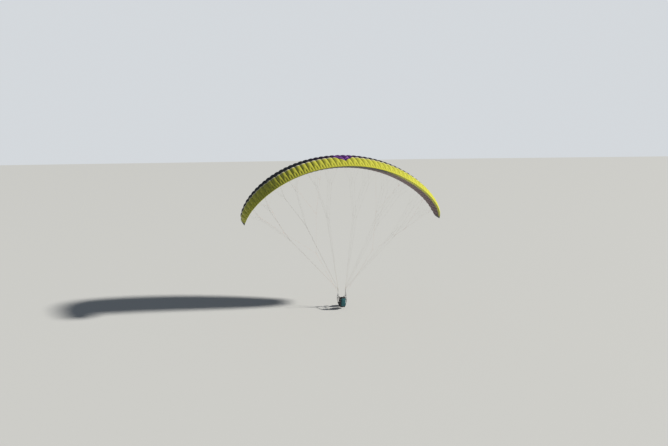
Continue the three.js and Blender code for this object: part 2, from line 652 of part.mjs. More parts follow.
function harness({
  name, width, rear, deep, top, seat, under, back,
}, yAxis, zAxis) {
  const nodes = [];
  const place = (geometry) => geometry.translate(0, yAxis, zAxis);
  const add = (part, geometry, finish) => nodes.push([`${name}_${part}`, place(geometry), finish]);
  const half = width / 2;
  const front = rear + deep;
  const pilot = name === 'pilot';

  const ring = ringInXZ(HARNESS_CARABINER);
  const ringDrop = HARNESS_CARABINER.height - HARNESS_CARABINER.wire;
  [1, -1].forEach((side) => {
    const at = ring.clone().translate(side * HANG_X, 0, -ringDrop / 2);
    add(`carabiner_${side > 0 ? 'right' : 'left'}`, at, finishes.steel);
  });

  add('seat', seatShell({
    width, rear, deep, top, seat,
  }), finishes.black);

  // What stands on the seat's rear edge and leans back
  const { lean } = BACK;
  const leant = (geometry) => geometry.rotateX(lean).translate(0, rear - SEAT - 8, top - seat);
  const hips = width / 2 - 10;
  const panel = new THREE.Shape();
  panel.moveTo(-hips + 30, 12 + BACK.bevel);
  panel.lineTo(hips - 30, 12 + BACK.bevel);
  panel.quadraticCurveTo(hips - BACK.bevel, 12 + BACK.bevel, hips - BACK.bevel, 50);
  panel.lineTo(hips - BACK.bevel, back * 0.5);
  panel.lineTo(BACK.shoulder - BACK.bevel, back * 0.78);
  panel.lineTo(BACK.shoulder - BACK.bevel, back - 36);
  panel.quadraticCurveTo(BACK.shoulder - BACK.bevel, back - BACK.bevel, BACK.shoulder - 36, back - BACK.bevel);
  panel.lineTo(-BACK.shoulder + 36, back - BACK.bevel);
  panel.quadraticCurveTo(-BACK.shoulder + BACK.bevel, back - BACK.bevel, -BACK.shoulder + BACK.bevel, back - 36);
  panel.lineTo(-BACK.shoulder + BACK.bevel, back * 0.78);
  panel.lineTo(-hips + BACK.bevel, back * 0.5);
  panel.lineTo(-hips + BACK.bevel, 50);
  panel.quadraticCurveTo(-hips + BACK.bevel, 12 + BACK.bevel, -hips + 30, 12 + BACK.bevel);
  const rest = new THREE.ExtrudeGeometry(panel, {
    depth: BACK.thick - 2 * BACK.bevel,
    bevelEnabled: true,
    bevelThickness: BACK.bevel,
    bevelSize: BACK.bevel,
    bevelSegments: 1,
    curveSegments: 3,
  });
  add('back', leant(rest.translate(0, 0, BACK.bevel).rotateX(Math.PI / 2)), finishes.black);
  const underSeat = (from, to, side) => domed(width - 2 * side, to - from, 34, SEAT - under, UNDER_STOPS)
    .translate(0, (from + to) / 2, top - seat - SEAT);
  if (pilot) {
    const {
      depth, low, wall, vent, corner,
    } = CONTAINER;
    const tall = back + 10 - low;
    const bag = (inner) => domed(width - 50, tall, corner, depth, CONTAINER_STOPS, inner);
    const hole = new THREE.CylinderGeometry(vent, vent, 6 * wall, 8).translate(0, -tall / 2, depth * 0.35);
    const hollow = cut(bag(0), bag(wall), hole);
    hollow.translate(0, low + tall / 2, BACK.thick + SEAT).rotateX(Math.PI / 2);
    add('container', leant(hollow), finishes.teal);
    nodes.push(['reserve_container', place(underSeat(front - RESERVE_DEEP, front - 5, 55)), finishes.black]);
    add('protector', underSeat(rear + 5, front - RESERVE_DEEP - SEAT, 15), finishes.black);
  } else {
    add('protector', underSeat(rear + 5, front - 5, 15), finishes.black);
  }

  const flat = vec(1, 0, 0);
  const ahead = vec(0, 1, 0);
  const loopAt = -ringDrop - LOOP_PLAY - HARNESS_LOOP_PLAY;
  const loopFoot = loopAt - (LOOP.height - LOOP.depth / 2);
  const outside = half + 12 + SEAT + WEBBING.thick / 2;
  const onBack = (x, height, off) => vec(x, off, height).applyAxisAngle(flat, lean)
    .add(vec(0, rear - SEAT - 8, top - seat));
  const shoulder = onBack(140, back, 60);
  [1, -1].forEach((side) => {
    const main = strap([
      [vec(HANG_X, 0, loopFoot + 2), flat],
      [vec(HANG_X, 0, loopFoot - 130), flat],
      [vec((HANG_X + outside) / 2, 0, (loopFoot - 130 + top) / 2), vec(1, 1, 0)],
      [vec(outside, 0, top + 60), ahead],
      [vec(outside, 0, top - seat + 5), ahead],
    ], WEBBING.width, WEBBING.thick);
    const over = strap([
      [vec(HANG_X - 2, -1, loopFoot - 75), flat],
      [vec(205, 40, loopFoot + 50), flat],
      [vec(170, 20, shoulder.z - 110), flat],
      [shoulder, flat],
      [onBack(132, back - 30, 5.5), flat],
      [onBack(130, back - 110, 4.5), flat],
    ], 45, 8);
    const webbing = join(main, over, loopBand(LOOP.height, -1).translate(HANG_X, 0, loopAt));
    const hand = side > 0 ? 'right' : 'left';
    add(`webbing_${hand}`, side > 0 ? webbing : mirrored(webbing), finishes.webbing);

    // The open leg strap hangs round the seat's front corner
    const beside = outside + (WEBBING.thick + LEG_STRAP.thick) / 2 + SEAT;
    const upright = vec(0, 0, 1);
    const leg = strap([
      [vec(beside, -8, top + 40), upright],
      [vec(beside, 90, top + 22), upright],
      [vec(beside, front - 14, top - 8), upright],
      [vec(half + 12, front + 7, top - 14), upright],
      [vec(half - 6, front + 17, top - 18), upright],
      [vec(half - 70, front + 19, top - 21), upright],
      [vec(LEG_STRAP.foot + 14, front + 16, top - 20), upright],
      [vec(LEG_STRAP.foot, front + 9, top - 20), upright],
      [vec(LEG_STRAP.foot, front + SEAT, top - 20), upright],
    ], LEG_STRAP.width, LEG_STRAP.thick);
    add(`leg_strap_${hand}`, side > 0 ? leg : mirrored(leg), finishes.webbing);
  });

  const chestX = HANG_X - WEBBING.width / 2 - SEAT;
  const chestZ = loopFoot - 108;
  const chest = strap([
    [vec(-chestX, 0, chestZ), vec(0, 0, 1)],
    [vec(-chestX + 14, 0, chestZ), vec(0, 0, 1)],
    [vec(-chestX * 0.5, 40, chestZ), vec(0, 0, 1)],
    [vec(0, 55, chestZ), vec(0, 0, 1)],
    [vec(chestX * 0.5, 40, chestZ), vec(0, 0, 1)],
    [vec(chestX - 14, 0, chestZ), vec(0, 0, 1)],
    [vec(chestX, 0, chestZ), vec(0, 0, 1)],
  ], 25, 3);
  add('chest_strap', chest, finishes.webbing);
  return nodes;
}

// Assembly

const paraglider = new THREE.Group();
paraglider.name = 'tandem_paraglider';

function addMesh(name, geometry, finish) {
  const mesh = new THREE.Mesh(geometry, new THREE.MeshStandardMaterial(finish));
  mesh.name = name;
  paraglider.add(mesh);
}

function addPair(name, geometry, finish) {
  addMesh(`${name}_right`, geometry, finish);
  addMesh(`${name}_left`, mirrored(geometry), finish);
}

SECTIONS.forEach(([name, first, last]) => addPair(name, canopySection(first, last), finishes.upper));

RISERS.forEach(([name, ahead, outwards, share]) => {
  const made = riser(name, ahead, outwards);
  addPair(`riser_${name}`, made.body, finishes.webbing);
  addPair(`${name}_lines`, lineRow(share, made.foot), finishes.line);
});

const pulleyTop = pulleyAt.clone().add(vec(0, 0, PULLEY.height / 2));
const brakes = brakeRow(pulleyTop);
const brakeWay = brakes.head.clone().sub(pulleyTop).normalize();
const mainFrom = pulleyTop.clone().add(brakeWay.clone().multiplyScalar(2));
const mainTo = brakes.head.clone().sub(brakeWay.clone().multiplyScalar(KNOT + SEAT));
const brakeMain = rod(mainFrom, mainTo, MAIN_RADIUS);
addPair('brake_lines', brakes.tree, finishes.brakeLine);
addPair('brake_main', brakeMain, finishes.brakeLine);
addPair('brake_pulley', brakePulley(HANG_X + RISERS[2][2] + STRAP.thick / 2), finishes.alloy);
addPair('brake_handle', brakeHandle(), finishes.plastic);

const mainRing = ringInXZ(CARABINER).translate(HANG_X, 0, HANG_Z + (CARABINER.height - CARABINER.wire) / 2);
addPair('main_carabiner', mainRing, finishes.steel);
addPair('spreader_bar', spreaderBar(), finishes.alloy);

const harnessAxisZ = HANG_Z - SPREADER.drop - holeRise;
[...harness(PILOT, -SPREADER.reach, harnessAxisZ), ...harness(PASSENGER, SPREADER.reach, harnessAxisZ)]
  .forEach(([name, geometry, finish]) => addMesh(name, geometry, finish));

export default paraglider;
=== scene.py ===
"""The looks of a tandem paraglider in flight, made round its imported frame.

Metres. +Y is the flight direction, +X the flyers' right, +Z up.
"""
import math
from contextlib import contextmanager

import bpy
import numpy as np
from mathutils import Matrix, Vector


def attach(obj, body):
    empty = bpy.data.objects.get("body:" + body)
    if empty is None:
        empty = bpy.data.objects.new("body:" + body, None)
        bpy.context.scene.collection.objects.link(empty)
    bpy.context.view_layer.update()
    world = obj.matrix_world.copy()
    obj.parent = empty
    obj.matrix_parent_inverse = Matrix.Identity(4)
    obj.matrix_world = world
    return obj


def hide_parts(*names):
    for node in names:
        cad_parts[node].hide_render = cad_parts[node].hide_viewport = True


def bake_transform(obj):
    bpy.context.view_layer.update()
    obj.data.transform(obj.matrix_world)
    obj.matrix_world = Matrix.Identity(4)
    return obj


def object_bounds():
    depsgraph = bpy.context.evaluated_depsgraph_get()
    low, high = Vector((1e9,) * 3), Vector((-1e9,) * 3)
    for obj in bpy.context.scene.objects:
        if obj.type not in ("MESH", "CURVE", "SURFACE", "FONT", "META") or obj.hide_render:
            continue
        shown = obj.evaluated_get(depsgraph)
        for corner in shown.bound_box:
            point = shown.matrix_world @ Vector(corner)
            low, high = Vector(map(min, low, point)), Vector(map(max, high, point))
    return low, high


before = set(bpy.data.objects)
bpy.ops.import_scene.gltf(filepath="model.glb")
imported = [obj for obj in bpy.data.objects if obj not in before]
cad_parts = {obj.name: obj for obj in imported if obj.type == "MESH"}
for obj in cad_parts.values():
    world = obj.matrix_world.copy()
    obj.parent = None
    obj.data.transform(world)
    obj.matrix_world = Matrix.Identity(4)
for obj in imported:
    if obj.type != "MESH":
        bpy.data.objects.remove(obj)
CAD_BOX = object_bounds()

# The photograph's frame, in pixels, and the camera that stands behind the wing
IMAGE_WIDTH, IMAGE_HEIGHT = 668, 446
FOCAL_PIXELS = 505
SENSOR = 36.0
CAMERA_DISTANCE = 30.16
CAMERA_AZIMUTH = math.radians(-11.38)
CAMERA_ELEVATION = math.radians(1.58)
CAMERA_ROLL = math.radians(0.48)
WING_MIDDLE = Vector((0, -0.776, -0.041))
WING_MIDDLE_PIXEL = (343.07, 163.98)
SKY_COLOUR, SKY_STRENGTH = (0.72, 0.82, 0.94, 1), 0.16
BACKDROP_COLOUR = (0.66, 0.69, 0.72, 1)
SUN_COLOUR, SUN_ENERGY, SUN_WIDTH = (1, 0.96, 0.88), 5, math.radians(4)
SUN_FROM = Vector((0.81, -0.24, 0.5))
FLOOR_SIZE, FLOOR_BELOW = 900, 0.05

# Wing plan, arc and section
HALF_ARC = 7.3
ROOT_CHORD = 3.47
TIP_CHORD_SHARE = 0.288
CHORD_POWER = 2.72
TIP_TILT = math.radians(54.8)
TILT_POWER = 1.06
TIP_HOOK = math.radians(27.9)
HOOK_POWER = 8
STRAIGHT_SHARE = 0.524
SWEEP = 0.198
HANG_SHARE = 0.3
TIP_TWIST = math.radians(5.7)
TWIST_AT = 0.4
INCIDENCE = math.radians(3)
THICKNESS = 0.187
CAMBER = 0.032
CAMBER_AT = 0.3
TRAILING_EDGE = 0.008

# Cells
CELLS_A_SIDE = 25
CELL_TAPER = 0.12
FLAT_CELLS_FROM = 23
TIP_THINNING = 0.97
INNER_CELLS = 5
STRIPS = (0, 0.05, 0.14, 0.27, 0.41, 0.5, 0.59, 0.73, 0.86, 0.95)
UPPER_STATIONS, LOWER_STATIONS = 58, 52
STATION_POWER = 1.6
SWELL = 0.14
NOSE_SWELL = 0.6
TAIL_SWELL = 0.3
HEM_SCALLOP = 0.022
# Near the trailing edge small ribs part each cell in two
SMALL_RIBS_FROM, SMALL_RIBS_FULL, SMALL_RIB_SWELL = 0.8, 0.88, 1.05
RIPPLE = 0.009
INTAKE = (0.008, 0.042)
INTAKE_CELLS = 20
INTAKE_STRIPS = (0.1, 0.9)
INTAKE_DEPTH = 0.13

HANDS = {"right": 1, "left": -1}
UP, AHEAD = (0, 0, 1), (0, 1, 0)

# Lines. The shares are how far down from the wing to the riser the lines join.
LINE_RIBS = (2, 6, 10, 14, 18, 22)
BRAKE_RIBS = {5: (5, 7), 11: (9, 11, 13), 17: (15, 17, 19), 21: (21,)}
BRAKE_TAB_SHARE = 0.985
KNEE_SHARE = 0.4
BRAKE_KNEE_SHARE = 0.3
BRAKE_HEAD_SHARE = 0.4
FORK_SHARE = 0.3
BRAKE_FORK_SHARE = 0.2
MAIN_STEP = 0.0042
MAIN_RADIUS = 0.0015
UPPER_RADIUS = 0.0012
FORK_RADIUS = 0.0009
TAB_WIDTH, TAB_LENGTH, TAB_CORD, TAB_PLAY = 0.012, 0.028, 0.0011, 0.0009
TAB_OUTLINE = ((1, -0.04), (1, 0.3), (0.85, 0.7), (0.4, 0.98),
               (-0.4, 0.98), (-0.85, 0.7), (-1, 0.3), (-1, -0.04))
# Distances along the line and shares of its radius
SPLICE = ((0, 1.5), (0.1, 1.5), (0.125, 1))
KNOT = ((-0.014, 1), (-0.009, 2.3), (-0.003, 3), (0.004, 2.6), (0.009, 2.9), (0.014, 1))
# The eyes of the main lines on the quick link, and the collar over them
EYE = ((0.0032, 0.0335), (0.0043, 0.027), (0.0034, 0.0237), (0, 0.0222),
       (-0.0034, 0.0237), (-0.0043, 0.027), (-0.0032, 0.0335), (0, 0.0345))
EYE_STEP, EYE_CORD = 0.0036, 0.0014
COLLAR = ((-0.0068, 0.005), (-0.006, 0.0074), (0, 0.0079), (0.006, 0.0074), (0.0068, 0.005))
BEND_FROM_SHARE = 0.72

# Risers, carabiners and spreader bars
HANG_X = 0.24
HANG_Z = -8.3
MAIN_RING = (0.062, 0.112, 0.011)
HARNESS_RING = (0.052, 0.092, 0.010)
RING_TOP = HANG_Z + 0.101
LOOP_TOP = RING_TOP + 0.0358
LOOP_PLAY = 0.0028
HARNESS_LOOP_PLAY = 0.0005
LOOP_RADIUS, LOOP_WIDTH, THROAT = 0.0108, 0.0176, 0.033
RISER_TOP = LOOP_TOP + 0.25
RISER_WIDTH, RISER_THICK, FOLD_THICK = 0.0196, 0.0022, 0.0018
# row: offset of its quick link along Y, offset of its strap outwards, chord share
RISERS = {"a": (0.07, -0.0033, 0.09), "b": (0.0, 0.0, 0.28), "c": (-0.08, 0.0033, 0.53)}
LINK_WIDTH, LINK_HEIGHT, LINK_WIRE = 0.03, 0.034, 0.005
COLLAR_FOOT = 0.0363
PULLEY = Vector((0.258, -0.092, -8.135))
PULLEY_SIZE = (0.016, 0.024, 0.034)
HANDLE_WIDTH, HANDLE_HEIGHT, HANDLE_BAR, HANDLE_STUB = 0.11, 0.12, 0.016, 0.03
SPREADER_REACH, SPREADER_DROP = 0.28, 0.085
SPREADER_THICK, SPREADER_RISE = 0.008, 0.0015
SPARE_HOLES = {1: (0.58, 0.79), -1: (0.79,)}
HARNESS_BUSH, APEX_BUSH = (0.0093, 0.0011), (0.0101, 0.0013)

# Harnesses, from their own carabiner axis: width, rear edge, depth, height and thickness of the seat,
# height of the back, and place of the axis
HARNESSES = {
    "pilot": {"width": 0.37, "rear": -0.05, "deep": 0.325, "top": -0.47, "seat": 0.04,
              "back": 0.59, "y": -0.28},
    "passenger": {"width": 0.35, "rear": -0.1205, "deep": 0.35, "top": -0.5, "seat": 0.04,
                  "back": 0.52, "y": 0.28},
}
AXIS_Z = HANG_Z - 0.0865
LEAN = math.radians(10)
ZIP_OFF = -0.105
HARNESS_LOOP = -HARNESS_RING[1] + HARNESS_RING[2] - LOOP_PLAY - HARNESS_LOOP_PLAY
STRAP_TOP = HARNESS_LOOP - THROAT
SHOULDER_FORK, STRAP_BEND, CHEST_LEVEL = STRAP_TOP - 0.075, STRAP_TOP - 0.13, STRAP_TOP - 0.108
STRAP_WIDTH, STRAP_THICK = 0.025, 0.0034
STRAP_OUTSIDE = 0.0143
PAD_STEPS = 9
CONTAINER_HALF, CONTAINER_FOOT = HARNESSES["pilot"]["width"] / 2 - 0.025, 0.03

# Cushions: voxel size, how far the solid is drawn in, and how far the cloth may swell from there
CUSHIONS = {"seat": (0.0075, 0.003, 0.006), "back": (0.009, 0.006, 0.009), "protector": (0.010, 0.006, 0.010),
            "container": (0.0105, 0.007, 0.011), "reserve_container": (0.009, 0.006, 0.009)}
PILOT_ONLY = ("container", "reserve_container")
CLOTH = {"quality": 4, "mass": 0.3, "tension_stiffness": 12, "compression_stiffness": 12,
         "shear_stiffness": 4, "bending_stiffness": 0.6, "use_pressure": True, "uniform_pressure_force": 4}
CLOTH_STEPS = 18
VENT_HALF_WIDTH, VENT_ROOF = 0.0075, 0.09


# Wing shape and places

def rib_at(rib):
    """Where a rib stands along the half arc, 0 at the centre and 1 at the tip."""
    t = rib / CELLS_A_SIDE
    return t * (1 + CELL_TAPER - CELL_TAPER * t)


def tilt_at(u):
    return TIP_TILT * u ** TILT_POWER + TIP_HOOK * u ** HOOK_POWER


def arc_point(u, steps=40):
    tilt = tilt_at(u * (np.arange(steps) + 0.5) / steps)
    return np.cos(tilt).sum() * HALF_ARC * u / steps, -np.sin(tilt).sum() * HALF_ARC * u / steps


def chord_at(u):
    return ROOT_CHORD * math.sqrt(1 - (1 - TIP_CHORD_SHARE ** 2) * u ** CHORD_POWER)


def fullness_at(u):
    start = rib_at(FLAT_CELLS_FROM)
    past = max(0.0, (u - start) / (1 - start))
    return math.sqrt(1 - TIP_THINNING * past * past)


def section(share):
    """Half thickness and mean line of the wing section, as shares of the chord."""
    half = 5 * THICKNESS * (0.2969 * np.sqrt(share) - 0.126 * share - 0.3516 * share ** 2
                            + 0.2843 * share ** 3 - 0.1036 * share ** 4)
    ahead = CAMBER / CAMBER_AT ** 2 * (2 * CAMBER_AT * share - share ** 2)
    behind = CAMBER / (1 - CAMBER_AT) ** 2 * (1 - 2 * CAMBER_AT + 2 * CAMBER_AT * share - share ** 2)
    return half, np.where(share < CAMBER_AT, ahead, behind)


def smooth(value, start, end):
    t = np.clip((value - start) / (end - start), 0, 1)
    return t * t * (3 - 2 * t)


def contour(u, share, side):
    """The section's outline at u as places along the chord and heights over it."""
    chord = chord_at(u)
    half, line = section(share)
    height = (line + side * half) * chord * fullness_at(u) + side * share * TRAILING_EDGE / 2
    height = height - TIP_TWIST * u * u * (share - TWIST_AT) * chord
    ahead = (STRAIGHT_SHARE - SWEEP * u ** 3 - share) * chord - (STRAIGHT_SHARE - HANG_SHARE) * ROOT_CHORD
    return ahead, height


def in_space(u, ahead, height):
    """Points of the right half of the wing."""
    x, z = arc_point(u)
    tilt = tilt_at(u)
    z = z + math.cos(tilt) * height
    x = x + math.sin(tilt) * height
    return np.stack([
        x,
        ahead * math.cos(INCIDENCE) - z * math.sin(INCIDENCE),
        ahead * math.sin(INCIDENCE) + z * math.cos(INCIDENCE),
    ], axis=-1)


def stations():
    """Chord shares and sides round the section: upper trailing edge, nose, lower one, and closed."""
    upper = np.linspace(1, 0, UPPER_STATIONS) ** STATION_POWER
    lower = np.linspace(0, 1, LOWER_STATIONS)[1:] ** STATION_POWER
    for edge in INTAKE:
        lower[np.abs(lower - edge).argmin()] = edge
    share = np.concatenate([upper, lower, upper[:1]])
    side = np.concatenate([np.ones(len(upper)), -np.ones(len(lower)), [1]])
    return share, side


SHARE, SIDE = stations()


def cell_column(rib):
    """One column of the swollen skin, at a rib number that may lie inside a cell."""
    cell = min(math.floor(rib + 1e-6), CELLS_A_SIDE - 1)
    inside = rib - cell
    u = rib_at(rib)
    ahead, height = contour(u, SHARE, SIDE)
    away_y, away_z = -np.gradient(height), np.gradient(ahead)
    away_y[-1], away_z[-1] = away_y[0], away_z[0]
    length = np.hypot(away_y, away_z) + 1e-12
    width = HALF_ARC * (rib_at(cell + 1) - rib_at(cell))
    one = 4 * inside * (1 - inside)
    half = (2 * inside) % 1
    two = 4 * half * (1 - half)
    double = smooth(SHARE, SMALL_RIBS_FROM, SMALL_RIBS_FULL)
    lobes = one * (1 - double) + two * SMALL_RIB_SWELL * double
    nose = NOSE_SWELL + (1 - NOSE_SWELL) * smooth(SHARE, 0, 0.07)
    amount = SWELL * nose * (1 - (1 - TAIL_SWELL) * smooth(SHARE, 0.72, 1))
    near_rib = math.exp(-((min(inside, 1 - inside) - 0.1) / 0.09) ** 2)
    ripple = np.sin(SHARE * 47 + cell * 2.4 + SIDE) * np.sin(SHARE * 19 + cell * 1.7)
    creases = RIPPLE * ripple * near_rib * smooth(SHARE, 0.03, 0.2)
    lift = width * (amount * lobes + creases) * fullness_at(u)
    ahead = ahead + away_y / length * lift + HEM_SCALLOP * two * smooth(SHARE, 0.9, 1)
    height = height + away_z / length * lift
    return in_space(u, ahead, height)


def columns(first, last):
    return [cell + strip for cell in range(first, last) for strip in STRIPS] + [last]


def under_wing(rib, share, hand, side=-1):
    """A place on the skin at a rib, under the wing or, where side is 1, over it."""
    u = rib_at(rib)
    x, y, z = in_space(u, *contour(u, share, side))
    return Vector((float(x) * hand, float(y), float(z)))


def bend_of_trailing_edge(hand):
    """Start and end of the brake's bend for the outer and the inner cells.

    The outer cells turn about one slanted line. The inner ones share that bend at their outermost rib, and it
    dies out towards the middle of the wing.
    """
    first, last = min(BRAKE_RIBS), max(BRAKE_RIBS)
    start = under_wing(first, BEND_FROM_SHARE, hand, 1)
    ends = [under_wing(rib, 1, hand, 1) - start for rib in (first, last)]
    x, y = np.linalg.solve([[end.x, end.y] for end in ends], [1, 1])
    way = Vector((x, y, 0))
    span = (under_wing(first + 0.05, 0.5, hand) - under_wing(first - 0.05, 0.5, hand)).normalized()
    middle = under_wing(0, 1, hand, 1) - start
    inner_way = way - span * (way.dot(middle) / span.dot(middle))
    return start, start + way / way.length_squared, start + inner_way / inner_way.length_squared


def in_harness(kind, x, y, z):
    """A place in a harness's own frame, from the middle of its carabiner axis."""
    return Vector((x, HARNESSES[kind]["y"] + y, AXIS_Z + z))


def on_back(kind, x, height, off):
    """A place on the leaning back: height up from its foot, off ahead of its face."""
    own = HARNESSES[kind]
    y = off * math.cos(LEAN) - height * math.sin(LEAN)
    z = off * math.sin(LEAN) + height * math.cos(LEAN)
    return in_harness(kind, x, own["rear"] - 0.0083 + y, own["top"] - own["seat"] + z)


def from_back(kind, points):
    """The heights up the back and distances off its face of many points."""
    foot = np.array(on_back(kind, 0, 0, 0))
    y, z = points[:, 1] - foot[1], points[:, 2] - foot[2]
    return -y * math.sin(LEAN) + z * math.cos(LEAN), y * math.cos(LEAN) + z * math.sin(LEAN)


# Shaders

class Field:
    """A number that changes over a surface. A sum on fields adds its Math nodes."""

    def __init__(self, paint, socket):
        self.paint = paint
        self.socket = socket

    def math(self, operation, *others, clamp=False):
        node = self.paint.add("ShaderNodeMath", {"operation": operation, "use_clamp": clamp}, [self, *others])
        return Field(self.paint, node.outputs[0])

    def __add__(self, other):
        return self.math("ADD", other)

    def __mul__(self, other):
        return self.math("MULTIPLY", other)

    def __sub__(self, other):
        return self.math("SUBTRACT", other)

    def __rsub__(self, other):
        return (self * -1) + other

    def __abs__(self):
        return self.math("ABSOLUTE")

    def __lt__(self, other):
        return self.math("LESS_THAN", other)

    def __gt__(self, other):
        return self.math("GREATER_THAN", other)

    def wave(self, length):
        """0 to 1 and back along each length."""
        return (self * (2 * math.pi / length)).math("SINE") * 0.5 + 0.5

    def ramp(self, start, end):
        """0 before start, 1 after end."""
        return (self - start).math("DIVIDE", end - start, clamp=True)

    def nearest_whole(self):
        """How far the number is from the nearest whole number."""
        return abs(self - self.math("ROUND"))


class Paint:
    """One material, with its Principled shader."""

    def __init__(self, name, colour=(0.5, 0.5, 0.5), **values):
        self.material = bpy.data.materials.new(name)
        self.material.use_nodes = True
        self.nodes = self.material.node_tree.nodes
        self.links = self.material.node_tree.links
        self.shader = self.nodes["Principled BSDF"]
        self.set(Base_Color=(*colour, 1), **values)

    def add(self, kind, settings=None, inputs=None):
        node = self.nodes.new(kind)
        for key, value in (settings or {}).items():
            setattr(node, key, value)
        pairs = enumerate(inputs) if isinstance(inputs, list) else (inputs or {}).items()
        for key, value in pairs:
            self.feed(node.inputs[key], value)
        return node

    def feed(self, socket, value):
        if isinstance(value, Field):
            self.links.new(value.socket, socket)
        elif isinstance(value, bpy.types.NodeSocket):
            self.links.new(value, socket)
        else:
            socket.default_value = value

    def set(self, **values):
        for key, value in values.items():
            self.feed(self.shader.inputs[key.replace("_", " ")], value)

    def attribute(self, name):
        return Field(self, self.add("ShaderNodeAttribute", {"attribute_name": name}).outputs["Fac"])

    def place(self):
        return self.add("ShaderNodeTexCoord").outputs["Object"]

    def uv(self):
        return self.add("ShaderNodeUVMap", {"uv_map": "cloth"}).outputs[0]

    def parts(self, vector):
        node = self.add("ShaderNodeSeparateXYZ", inputs=[vector])
        return [Field(self, output) for output in node.outputs]

    def noise(self, vector, scale, detail, stretch=(1, 1, 1)):
        mapped = self.add("ShaderNodeMapping", inputs={"Vector": vector, "Scale": stretch}).outputs[0]
        node = self.add("ShaderNodeTexNoise", inputs={"Vector": mapped, "Scale": scale, "Detail": detail})
        return Field(self, node.outputs["Fac"])

    def mix(self, mask, first, second):
        """The first colour where the mask is 0 and the second where it is 1."""
        node = self.add("ShaderNodeMix", {"data_type": "RGBA"})
        self.feed(node.inputs["Factor"], mask)
        self.feed(node.inputs[6], self.colour(first))
        self.feed(node.inputs[7], self.colour(second))
        return node.outputs[2]

    @staticmethod
    def colour(value):
        return (*value, 1) if isinstance(value, tuple) and len(value) == 3 else value

    def surface(self, colour, tone, roughness, height, distance, strength):
        """Sets the colour times its tone, the roughness and the bump, and gives the material."""
        tint = self.add("ShaderNodeVectorMath", {"operation": "SCALE"}, {0: colour, "Scale": tone})
        relief = {"Height": height, "Distance": distance, "Strength": strength}
        bump = self.add("ShaderNodeBump", inputs=relief)
        self.set(Base_Color=tint.outputs[0], Roughness=roughness, Normal=bump.outputs[0])
        return self.material


LIME = (0.53, 0.53, 0.055)
BLACK = (0.006, 0.005, 0.009)
DEEP_PLUM = (0.035, 0.006, 0.04)
PURPLE = (0.085, 0.012, 0.17)
LILAC = (0.36, 0.12, 0.46)
CREAM = (0.78, 0.74, 0.5)
PLUM = (0.15, 0.085, 0.09)
# Near black, painted shade on the rear of the underside under the wing's middle
UNDER_PAINTED_SHADE = (0.01, 0.008, 0.008)

# The canopy's colour fields, in chord shares back from the nose and in ribs out from the centre
BAND_EDGE, BAND_TIP_LOSS, BAND_SCALLOP = 0.515, 0.12, 0.012
STRIPE_WIDTH, STRIPE_GROWTH = 0.034, 0.0008
SHIELD_POINT, SHIELD_SLOPE, SHIELD_RIBS = 0.76, 7, 1.6
INSET_OUTER, INSET_INNER = 0.6, 0.82
REAR_FIELD_FROM, NOSE_FIELD_TO, TIP_FIELD_FROM = 0.86, 0.13, 24.4
# The underside's rear is painted near black as painted shade from this chord share at the centre, starting
# this much later further out
PAINTED_SHADE_FROM, PAINTED_SHADE_LOSS = 0.62, 0.24
HEM_FROM = 0.985
# The pocket value above which cloth is black, and the grid's threads to a unit of the cloth's UV
POCKET_FROM, GRID_THREADS = 0.04, 200


def canopy_paint():
    """Coated ripstop in its colour fields, with painted shade under the rear of the wing's middle, rib seams,
    grid threads and slack creases.
    """
    paint = Paint("canopy_cloth", Roughness=0.5, Specular_IOR_Level=0.3)
    rib = paint.attribute("rib")
    span = abs(rib)
    share = paint.attribute("share")
    upper = paint.attribute("upper")
    pocket = paint.attribute("pocket")
    uv = paint.uv()
    across, along, _ = paint.parts(uv)
    inside = span.math("FRACT")
    crest = inside * (1 - inside) * 4
    band = BAND_EDGE - span.ramp(13, 25) * BAND_TIP_LOSS + crest * BAND_SCALLOP
    stripe = span * STRIPE_GROWTH + STRIPE_WIDTH
    shield = ((SHIELD_POINT - share) * SHIELD_SLOPE).math("MINIMUM", SHIELD_RIBS)
    dark = paint.mix((1 - span.ramp(2, 8)) * 0.9, BLACK, DEEP_PLUM)
    top = paint.mix(share > (band + stripe), CREAM, LIME)
    top = paint.mix(share < band, top, dark)
    top = paint.mix(span < shield, top, PURPLE)
    inset = (span < (shield - INSET_OUTER)) * (span > (shield - INSET_INNER))
    top = paint.mix(inset, top, LILAC)
    under = paint.mix(share > REAR_FIELD_FROM, PLUM, LIME)
    # Painted shade: the rear of the underside under the middle of the wing is painted near black
    painted_shade_start = span.ramp(4, 9) * PAINTED_SHADE_LOSS + PAINTED_SHADE_FROM
    under = paint.mix((share > painted_shade_start) * (1 - span.ramp(7, 12)), under, UNDER_PAINTED_SHADE)
    under = paint.mix(share < NOSE_FIELD_TO, under, BLACK)
    cloth = paint.mix(upper > 0.5, under, top)
    cloth = paint.mix(span > TIP_FIELD_FROM, cloth, BLACK)
    cloth = paint.mix(pocket > POCKET_FROM, cloth, BLACK)
    seam = 1 - span.nearest_whole().ramp(0.012, 0.03)
    hem = (share > HEM_FROM) * upper
    warp, weft = ((way * GRID_THREADS).nearest_whole().ramp(0, 0.12) for way in (across, along))
    threads = 1 - warp * weft
    creases = paint.noise(uv, 5.0, 4.0, (1, 2.4, 1))
    stains = paint.noise(uv, 1.3, 3.0)
    tone = stains * 0.2 + creases * 0.16 + 0.84 - seam * 0.16 - hem * 0.2 - threads * 0.07
    roughness = creases * 0.16 + threads * 0.1 + 0.38
    return paint.surface(cloth, tone, roughness, threads * 0.03 + creases - seam * 0.3, 0.008, 0.6)


def braid_paint(name, colour, fleck):
    """The sheath of a line: a fine diagonal braid with a fleck thread."""
    paint = Paint(name, Roughness=0.75)
    around, along, _ = paint.parts(paint.uv())
    left, right = along * 1.6 + around, along * 1.6 - around
    braid = left.wave(0.0016).math("MAXIMUM", right.wave(0.0016))
    thread = (left * 160).nearest_whole() < 0.09
    dirt = paint.noise(paint.place(), 3.0, 2.0)
    tone = braid * 0.3 + dirt * 0.3 + 0.55
    return paint.surface(paint.mix(thread, colour, fleck), tone, braid * -0.15 + 0.85, braid, 0.0004, 0.8)


